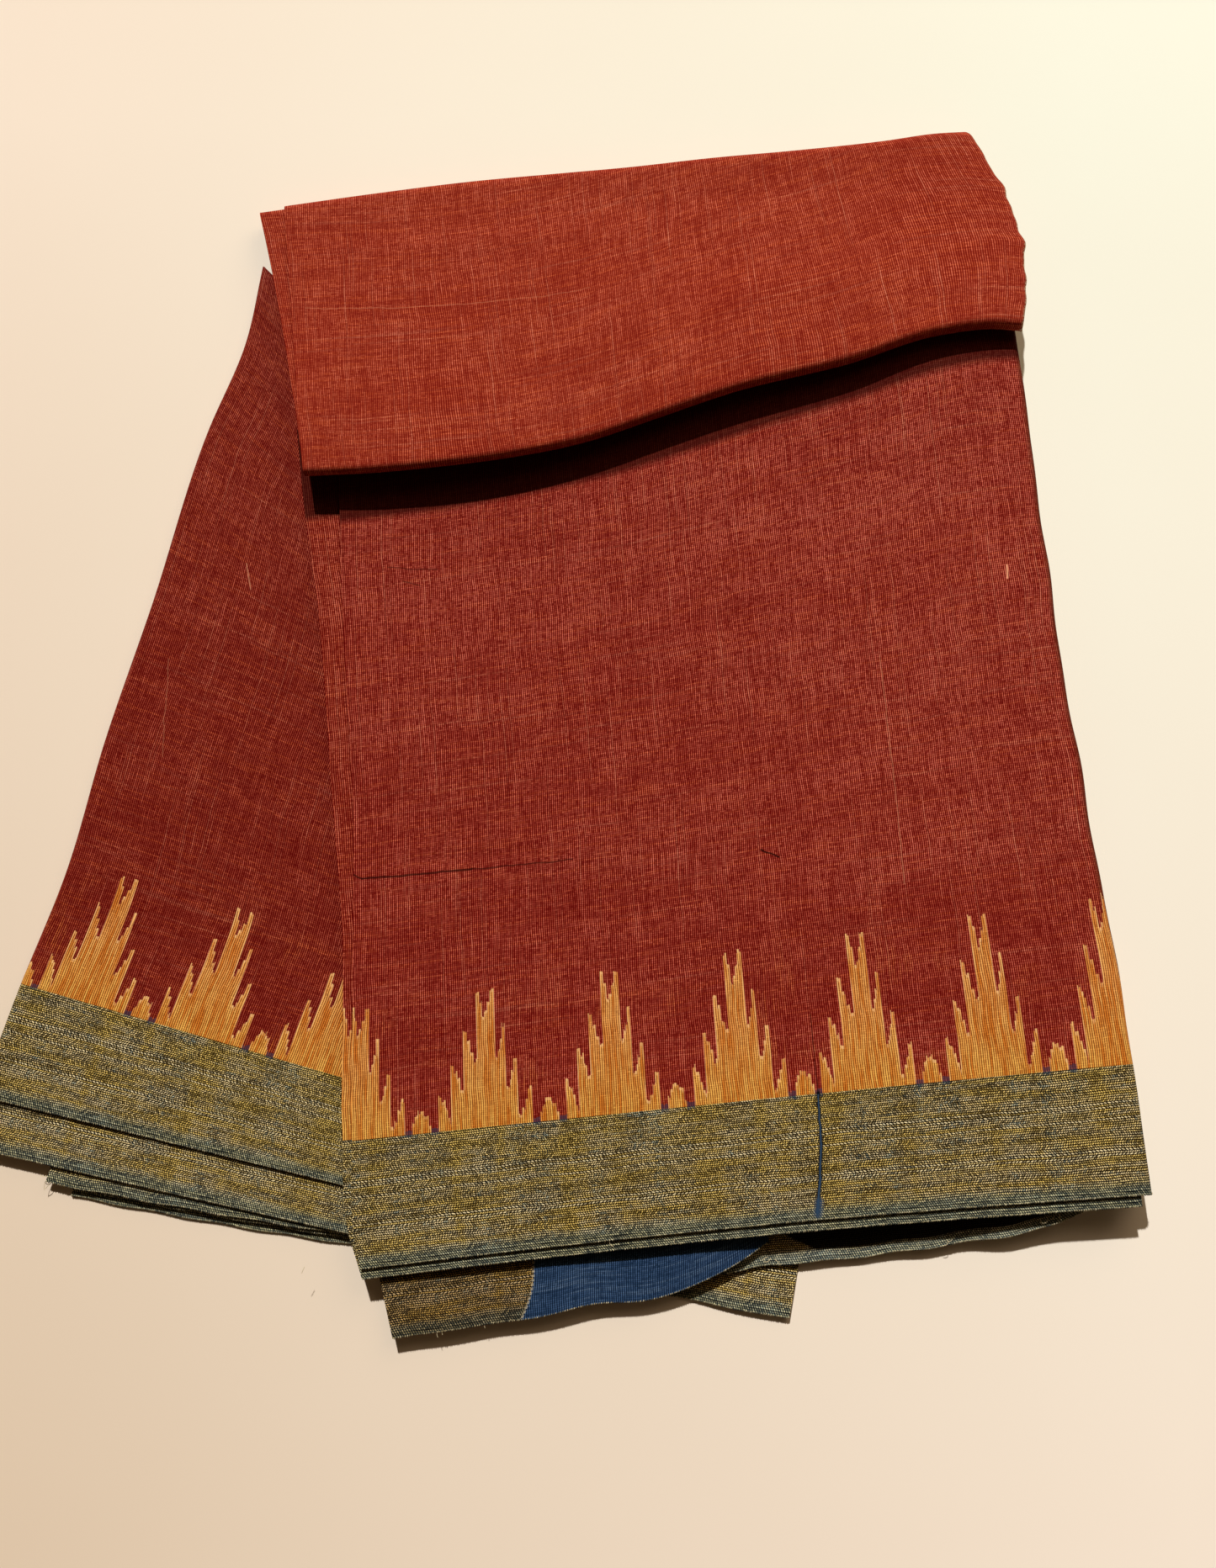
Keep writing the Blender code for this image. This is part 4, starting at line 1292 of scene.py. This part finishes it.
# The layers nobody sees: a block with rounded sides, ring below ring, each ring a layer's edge
def layeredBlock(name, columns, rows, place, rings, material):
    piece = newGrid(name, columns, rows)
    levels = [place(np.linspace(0, 1, columns + 1), ring) for ring in range(rings)]
    work = bmesh.new()
    work.from_mesh(piece.data)
    columnOf = work.verts.layers.int.new("column")
    rowOf = work.verts.layers.int.new("row")
    ringOf = work.verts.layers.int.new("ring")
    for vert in work.verts:
        vert[columnOf] = round((vert.co.x + 0.5) * columns)
        vert[rowOf] = round((vert.co.y + 0.5) * rows)
        vert.co = levels[0][vert[columnOf], vert[rowOf]]
    rim = [edge for edge in work.edges if edge.is_boundary]
    for ring in range(1, rings):
        made = bmesh.ops.extrude_edge_only(work, edges=rim)["geom"]
        for item in made:
            if isinstance(item, bmesh.types.BMVert):
                item[ringOf] = ring
                item.co = levels[ring][item[columnOf], item[rowOf]]
        edges = [item for item in made if isinstance(item, bmesh.types.BMEdge)]
        rim = [edge for edge in edges if edge.is_boundary]
    bmesh.ops.edgeloop_fill(work, edges=rim)

    def rank(vert):
        return (vert[ringOf] * (columns + 1) + vert[columnOf]) * (rows + 1) + vert[rowOf]

    def faceRank(face):
        ranks = [rank(vert) for vert in face.verts]
        return min(ranks) * rings * (columns + 1) * (rows + 1) + max(ranks)

    # An extrusion's new parts come in any order, so they are put in a fixed one
    work.verts.sort(key=rank)
    work.faces.sort(key=faceRank)
    bmesh.ops.recalc_face_normals(work, faces=work.faces)
    work.to_mesh(piece.data)
    work.free()
    bpy.ops.object.shade_smooth_by_angle(angle=math.radians(55))
    piece.data.materials.append(material)
    return piece


frontBlock = {
    "columns": 48,
    "stations": (
        0.0, 0.02, 0.05, 0.08, 0.12, 0.18, 0.24, 0.31, 0.38, 0.45, 0.52,
        0.59, 0.66, 0.72, 0.78, 0.83, 0.88, 0.92, 0.95, 0.98, 1.0,
    ),
    "face": ((0.0, 0.0), (1.0, 0.35), (3.0, 0.8), (8.0, 1.0)),
    "slope": (0.1, 0.2, 0.3, 0.4, 0.5, 0.6, 0.7, 0.83, 0.89, 1.0),
    "upperLayers": 8,
    "lowerLayers": 7,
    "ceiling": 8.1,
    "floorTop": 8.0,
    "groove": 0.9,
    "sideInset": 3.0,
    "foldInset": 7.0,
    "slotDepth": 38.0,
    "southInset": 36.0,
    "notchStart": 0.55,
    "notchBlend": 0.07,
}


# shares down a stack of layers with the groove's depth at each: the rim, and four rings a layer
def layerRings(count, unevenness, seed, rim=0.9):
    places = np.linspace(0, 1, count + 1)
    places[1:-1] += unevenness / count * np.sin(np.arange(1, count) * 2.4 + seed)
    rings = [(0.0, rim)]
    for k in range(count):
        top, low = places[k], places[k + 1]
        rings.append((blend(top, low, 0.22), 0.12))
        rings.append((blend(top, low, 0.5), 0.0 if k % 3 else 0.1))
        rings.append((blend(top, low, 0.78), 0.12))
        rings.append((low, 0.75 + 0.25 * math.sin(k * 1.9 + seed)))
    return rings


def frontCore(across, ring):
    setup = frontBlock
    upper = layerRings(setup["upperLayers"], 0.25, 1.0)
    lower = layerRings(setup["lowerLayers"], 0.25, 2.0)
    width, depth = cloth["leafWidth"], 2 * cloth["pitch"] + cloth["snug"]
    radius = flap["topRadius"]
    arc = radius - depth
    stations = setup["stations"]
    panelRows = len(stations)
    rows = panelRows + len(setup["face"]) + len(setup["slope"]) - 1
    isUpper = ring < len(upper)
    share, groove = upper[ring] if isUpper else lower[ring - len(upper)]
    z = setup["ceiling"] if isUpper else setup["floorTop"] * (1 - share)
    below = 0.0 if isUpper else min(arc, abs(radius - z))
    north = radius - arc * math.sqrt(max(0.0, 1 - (1 - share) ** 2))
    if not isUpper:
        north = radius - math.sqrt(max(0.0, arc**2 - below**2))
    block = np.zeros((len(across), rows, 3))
    for row in range(rows):
        wanted = np.arange(len(across))
        if ring and row not in (0, rows - 1):
            wanted = wanted[[0, -1]]
        at = across[wanted]
        cut = groove * setup["groove"] * (1 + (0.25 * np.sin(at * 37 + ring) if ring else 0 * at))
        if isUpper:
            south = ease((at - setup["notchStart"]) / setup["notchBlend"])
            south = blend(front["secondReach"] + 1, setup["southInset"], south) + cut
            left = setup["sideInset"] + cut
        else:
            south = setup["southInset"] + 2 + cut
            left = (setup["slotDepth"] if row < rows - 1 else setup["sideInset"]) + cut
        inner = blend(left / width, 1 - (setup["foldInset"] + cut) / width, at)
        if row < panelRows:
            along = blend(south / front["length"], 1.0, stations[row])
            plan = frontPlan(inner, along, "secondX")
            plan[..., 1] += (front["mouthDepth"] - front["panelDepth"]) * stations[row] ** 3
            top = frontHeight(inner, along) - depth
        else:
            plan, top = frontCoreSlope(inner, row - panelRows + 1, north, depth)
        height = top + 0 * at
        if ring:
            height = blend(top, z, share) if isUpper else z + 0 * at
        block[wanted, row] = toMetres(raised(plan, height))
    return block


# the part of the hidden layers inside the flap: row k of it, k counted from the step under the lip
def frontCoreSlope(inner, k, north, depth):
    setup = frontBlock
    face = setup["face"]
    start = front["mouthDepth"] + face[-1][0]

    def northOfLip(at):
        if k < len(face):
            return front["mouthDepth"] + face[k][0] + 0 * at
        return blend(start, flapRun(at) - north, setup["slope"][k - len(face)])

    inner = reached(inner, 1 - northOfLip(inner) / flapRun(inner), flap["secondReach"])
    distance = flapRun(inner) - northOfLip(inner)
    lines = movedIn(flapLines(inner, flap["returnDepth"]), depth)
    first = flap["returnSteps"] + flap["lipSteps"] + 1
    slope = lines[:, first:-flap["wrapSteps"]][:, ::-1]
    top = np.array([np.interp(d, s[:, 0], s[:, 1]) for d, s in zip(distance, slope)])
    if k < len(face):
        top = blend(frontHeight(inner, 1.0 + 0 * inner) - depth, top, face[k][1])
    return flapPlan(inner, distance / flapRun(inner)), top


def countRings(layers):
    return 1 + 4 * layers


frontLayers = layeredBlock(
    "frontLayers",
    frontBlock["columns"],
    len(frontBlock["stations"]) + len(frontBlock["face"]) + len(frontBlock["slope"]) - 2,
    frontCore,
    countRings(frontBlock["upperLayers"]) + countRings(frontBlock["lowerLayers"]),
    layerEdges,
)

backBlock = {
    "south": 42.0,
    "north": 6.0,
    "overlap": 34.0,
    "top": 4.5,
    "layers": 5,
    "foldInset": 7.0,
    "rows": 40,
    "columns": 12,
}


def backCore(across, ring):
    setup = backBlock
    share, groove = layerRings(setup["layers"], 0.2, 3.0)[ring]
    inset = groove * frontBlock["groove"]
    grid = []
    for row in range(setup["rows"] + 1):
        cut = inset * (1 + 0.3 * math.sin(row * 1.1 + ring)) if ring else inset
        south = (setup["south"] + cut) / back["length"]
        north = 1 - (setup["north"] + cut) / back["length"]
        along = np.array([blend(south, north, row / setup["rows"])])
        zero = np.zeros(1)
        width = np.linalg.norm(backPlan(zero + 1, along) - backPlan(zero, along))
        left = backPlan((setup["foldInset"] + cut) / width + zero, along)
        right = backPlan(zero + 1, along) + np.array([setup["overlap"], 0.0])
        plan = blend(left, right, across[:, None])
        height = setup["top"] * (1 - share) + 0 * across
        grid.append(toMetres(raised(plan, height)))
    return np.stack(grid, axis=1)


backLayers = layeredBlock(
    "backLayers",
    backBlock["columns"],
    backBlock["rows"],
    backCore,
    countRings(backBlock["layers"]),
    layerEdges,
)


supports = {
    "tuckedLayers": {
        "table": tuckedTable,
        "left": -96.0,
        "right": 13.0,
        "inset": 7.0,
        "north": -195.0,
        "gap": 0.3,
        "layers": 5,
    },
    "lowerLayers": {
        "table": lowerTable,
        "left": 106.0,
        "right": 257.0,
        "inset": 8.0,
        "north": -170.0,
        "gap": 0.4,
        "layers": 3,
    },
}


def supportCore(name):
    setup = supports[name]

    def place(across, ring):
        share, groove = layerRings(setup["layers"], 0.2, 4.0, 0.8)[ring]
        inset = groove * frontBlock["groove"]
        x = blend(setup["left"] + inset, setup["right"] - inset, across)
        at = np.interp(x, setup["table"]["lowX"], setup["table"]["across"])
        low = stripPlan(setup["table"], at, 0 * at)[:, 1] + setup["inset"] + inset
        if name == "tuckedLayers":
            top = back["level"] * cloth["pitch"] - setup["gap"] + 0 * at
        else:
            top = smooth(lowerTable, "across", "under", at) - setup["gap"]
        height = top * (1 - share)
        lines = [blend(low, setup["north"], row / 4) for row in range(5)]
        rows = [np.stack([x, y, height], axis=-1) for y in lines]
        return toMetres(np.stack(rows, axis=1))

    return place


supportPieces = {
    name: layeredBlock(name, 40, 4, supportCore(name), countRings(setup["layers"]), layerEdges)
    for name, setup in supports.items()
}
print("hidden layers stacked")

# The stitches that wrap each selvedge: one small bent thread for each, all along the edge
stitches = {
    "spacing": 1.15,
    "uneven": 0.18,
    "sizes": (0.8, 1.2),
    "radius": 0.24,
    "thinEnds": 0.35,
    "reach": 0.62,
    "over": 0.35,
    "half": 0.62,
    "lift": 0.06,
    "turn": (115, -100),
    "steps": 6,
    "sides": 5,
    "tilt": 0.5,
}


def selvedge(name, line, inward, seed):
    spans = np.linalg.norm(np.diff(line, axis=0), axis=-1)
    at = np.concatenate([[0.0], np.cumsum(spans)])
    count = int(at[-1] / stitches["spacing"])
    random = np.random.default_rng(seed)
    nudges = random.uniform(-stitches["uneven"], stitches["uneven"], count)
    where = (np.arange(count) + 0.5 + nudges) * stitches["spacing"]
    middle = np.stack([np.interp(where, at, line[:, k]) for k in range(3)], axis=-1)
    facing = np.stack([np.interp(where, at, inward[:, k]) for k in range(2)] + [0 * where], axis=-1)
    facing /= np.linalg.norm(facing, axis=-1, keepdims=True)
    side = np.stack([-facing[:, 1], facing[:, 0], 0 * where], axis=-1)
    up = np.array([0.0, 0.0, 1.0])
    vertices, faces, uvs = [], [], []
    steps, sides = stitches["steps"], stitches["sides"]
    size = random.uniform(*stitches["sizes"], count)
    for k in range(count):
        base = len(vertices)
        for ring in range(steps + 1):
            turn = math.radians(blend(*stitches["turn"], ring / steps))
            out = stitches["reach"] * size[k] * math.cos(turn) - stitches["over"]
            rise = stitches["half"] * math.sin(turn) - cloth["thickness"] / 2 + stitches["lift"]
            lean = stitches["tilt"] * (ring / steps - 0.5)
            centre = middle[k] - facing[k] * out + up * rise + side[k] * lean
            normal = -facing[k] * math.cos(turn) + up * math.sin(turn)
            thin = stitches["radius"] * (stitches["thinEnds"] if ring in (0, steps) else 1.0)
            for corner in range(sides):
                angle = 2 * math.pi * corner / sides
                around = normal * math.cos(angle) + side[k] * math.sin(angle)
                vertices.append(centre + around * thin)
        for ring in range(steps):
            for corner in range(sides):
                a = base + ring * sides + corner
                b = base + ring * sides + (corner + 1) % sides
                faces.append((a, b, b + sides, a + sides))
                uvs += [(k, ring / steps)] * 2 + [(k, (ring + 1) / steps)] * 2
        faces.append(tuple(base + corner for corner in reversed(range(sides))))
        faces.append(tuple(base + steps * sides + corner for corner in range(sides)))
        uvs += [(k, 0.0)] * (2 * sides)
    mesh = bpy.data.meshes.new(name)
    mesh.from_pydata([tuple(p) for p in toMetres(np.array(vertices))], [], faces)
    layer = mesh.uv_layers.new(name="stitches")
    layer.data.foreach_set("uv", np.array(uvs, float).ravel())
    work = bmesh.new()
    work.from_mesh(mesh)
    bmesh.ops.recalc_face_normals(work, faces=work.faces)
    work.to_mesh(mesh)
    work.free()
    mesh.materials.append(stitchThread)
    piece = bpy.data.objects.new(name, mesh)
    bpy.context.scene.collection.objects.link(piece)
    for face in mesh.polygons:
        face.use_smooth = True
    return piece


selvedges = {}
for sheetName, name, seed in (
    ("frontPanel", "frontSelvedge", 1),
    ("frontSecondLayer", "frontSecondSelvedge", 2),
    ("backPanel", "backSelvedge", 3),
    ("backSecondLayer", "backSecondSelvedge", 4),
    ("tuckedEnd", "tuckedSelvedge", 5),
    ("frontLowerLayer", "lowerSelvedge", 6),
    ("underCorner", "cornerSelvedge", 7),
    *((name, name + "Selvedge", 20 + k) for k, name in enumerate(edgeStrips["levels"])),
):
    points = laid[sheetName]
    inward = points[:, 1, :2] - points[:, 0, :2]
    selvedges[sheetName] = selvedge(name, points[:, 0], inward, seed)

# A few loose thread ends: place in millimetres about the part's origin, bearing and length
frays = {
    "radius": 0.13,
    "steps": 8,
    "turn": 0.35,
    "droop": 0.30,
    "lowest": 0.3,
    "stitch": 7.0,
    "pattern": 300,
    "ends": (
        (110.1, -294.0, 6.4, 250, 4.5), (112.0, -294.4, 6.6, 320, 3.0),
        (108.5, -293.6, 6.2, 200, 3.2), (198.7, -285.6, 6.6, 285, 4.2),
        (201.0, -285.0, 6.8, 240, 3.0), (244.5, -274.6, 10.4, 255, 3.4),
        (247.5, -273.8, 10.8, 300, 3.8), (251.0, -273.0, 11.2, 270, 3.0),
        (254.0, -272.2, 11.6, 230, 3.6), (-55.1, -327.2, 7.4, 262, 4.0),
        (-53.5, -327.4, 7.4, 310, 2.8), (-32.2, -323.4, 7.4, 280, 3.4),
        (-254.6, -257.2, 4.0, 240, 5.0), (-253.2, -257.8, 4.0, 265, 4.4),
        (-254.9, -254.8, 4.0, 215, 3.6), (30.0, -285.3, 14.2, 280, 2.6),
        (62.0, -283.6, 14.4, 250, 2.4), (-120.5, -297.0, 12.2, 245, 3.4),
    ),
}


def frayedThreads():
    random = np.random.default_rng(11)
    curves = bpy.data.curves.new("looseThreads", "CURVE")
    curves.dimensions = "3D"
    curves.bevel_depth = frays["radius"] / 1000
    curves.bevel_resolution = 1
    curves.use_fill_caps = True
    for x, y, z, bearing, length in frays["ends"]:
        spline = curves.splines.new("POLY")
        spline.points.add(frays["steps"] - 1)
        turn = random.uniform(-frays["turn"], frays["turn"])
        angle = math.radians(bearing)
        step = length / (frays["steps"] - 1)
        for k, point in enumerate(spline.points):
            point.co = (x / 1000, y / 1000, max(z, frays["lowest"]) / 1000, 1)
            x += step * math.cos(angle)
            y += step * math.sin(angle)
            z -= frays["droop"] * step * k / frays["steps"]
            angle += turn
    bpy.ops.object.select_all(action="DESELECT")
    piece = bpy.data.objects.new("looseThreads", curves)
    bpy.context.scene.collection.objects.link(piece)
    bpy.context.view_layer.objects.active = piece
    piece.select_set(True)
    bpy.ops.object.convert(target="MESH")
    piece = bpy.context.object
    layer = piece.data.uv_layers.new(name="stitches")
    for loop in piece.data.loops:
        along = piece.data.vertices[loop.vertex_index].co.y
        layer.data[loop.index].uv = (frays["stitch"], along * frays["pattern"])
    piece.data.materials.append(looseThread)
    for face in piece.data.polygons:
        face.use_smooth = True
    return piece


looseThreads = frayedThreads()
print("selvedges stitched")


# What each piece is: CAD solid, finish, the cut of what shows in metres, and what it lies on
laidSheets = {
    "frontPanel": ("front_panel", "maroon", (0.396, 0.445), ["frontSecondLayer"]),
    "frontSecondLayer": ("front_second_layer", "maroon", (0.390, 0.450), ["frontLayers"]),
    "flapCloth": ("flap", "maroon", (0.396, 0.240), ["flapSecondLayer"]),
    "flapSecondLayer": ("flap_second_layer", "maroon", (0.395, 0.220), ["frontLayers"]),
    "backPanel": ("back_panel", "maroon", (0.150, 0.470), ["backSecondLayer"]),
    "backSecondLayer": ("back_second_layer", "olive", (0.150, 0.495), ["backLayers"]),
    "backEdgeUpper": ("back_edge_upper", "olive", (0.182, 0.034), ["backEdgeMiddle"]),
    "backEdgeMiddle": ("back_edge_middle", "olive", (0.182, 0.034), ["backEdgeLower"]),
    "backEdgeLower": ("back_edge_lower", "olive", (0.182, 0.034), []),
    "tuckedEnd": ("tucked_end", "indigo", (0.190, 0.050), ["tuckedLayers"]),
    "frontLowerLayer": ("front_lower_layer", "olive", (0.220, 0.036), ["lowerLayers"]),
    "underCorner": ("under_corner", "olive", (0.075, 0.044), []),
}
for name, (node, finish, flat, under) in laidSheets.items():
    piece = bpy.data.objects[name]
    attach(piece, "root")
    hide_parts(node)
    stitched = selvedges.get(name)
    if stitched:
        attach(stitched, "root")
for piece in (frontLayers, backLayers, *supportPieces.values()):
    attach(piece, "root")
    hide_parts("hidden_layers")
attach(looseThreads, "root")
print("pieces tied to the frame")

# The pale surface it lies on
bpy.ops.object.select_all(action="DESELECT")
bpy.ops.mesh.primitive_plane_add(size=6, location=(0, 0, 0))
surface = bpy.context.object
surface.name = "paleSurface"
surface.data.materials.append(floorMaterial())

# One fairly hard lamp from beyond the top edge, and a soft one overhead
light = {
    "keyFrom": (-11.0, 41.0),
    "keyStrength": 3.85,
    "keySoftness": 1.6,
    "keyColour": (0.985, 0.99, 0.985),
    "fillPower": 9.0,
    "fillAt": (0.85, 1.25, 1.15),
    "fillSize": 1.3,
    "fillColour": (1.0, 0.78, 0.54),
    "room": 0.05,
    "roomColour": (1.0, 0.66, 0.36, 1),
}


def placed(name, data, location=(0, 0, 0)):
    item = bpy.data.objects.new(name, data)
    item.location = location
    bpy.context.scene.collection.objects.link(item)
    return item


def aimed(direction):
    return direction.to_track_quat("Z", "Y").to_euler()


bearing, height = (math.radians(angle) for angle in light["keyFrom"])
level = math.cos(height)
toward = Vector((math.sin(bearing) * level, math.cos(bearing) * level, math.sin(height)))
key = bpy.data.lights.new("key", "SUN")
key.energy = light["keyStrength"]
key.angle = math.radians(light["keySoftness"])
key.color = light["keyColour"]
placed("key", key).rotation_euler = aimed(toward)
fill = bpy.data.lights.new("fill", "AREA")
fill.shape = "SQUARE"
fill.size = light["fillSize"]
fill.energy = light["fillPower"]
fill.color = light["fillColour"]
placed("fill", fill, light["fillAt"]).rotation_euler = aimed(Vector(light["fillAt"]))
world = bpy.data.worlds.new("room")
world.use_nodes = True
background = world.node_tree.nodes["Background"]
background.inputs["Color"].default_value = light["roomColour"]
background.inputs["Strength"].default_value = light["room"]
bpy.context.scene.world = world

# The camera, almost straight above and a little towards the viewer
view = {"at": (0.02915, -0.16691, 0.64603), "tilt": 10.0, "lens": 28.0}
camera = bpy.data.cameras.new("camera")
camera.sensor_width = 36.0
camera.lens = view["lens"]
camera.clip_start = 0.01
cameraObject = placed("camera", camera, view["at"])
cameraObject.rotation_euler = (math.radians(view["tilt"]), 0, 0)
bpy.context.scene.camera = cameraObject
bpy.context.scene.view_settings.view_transform = "Standard"
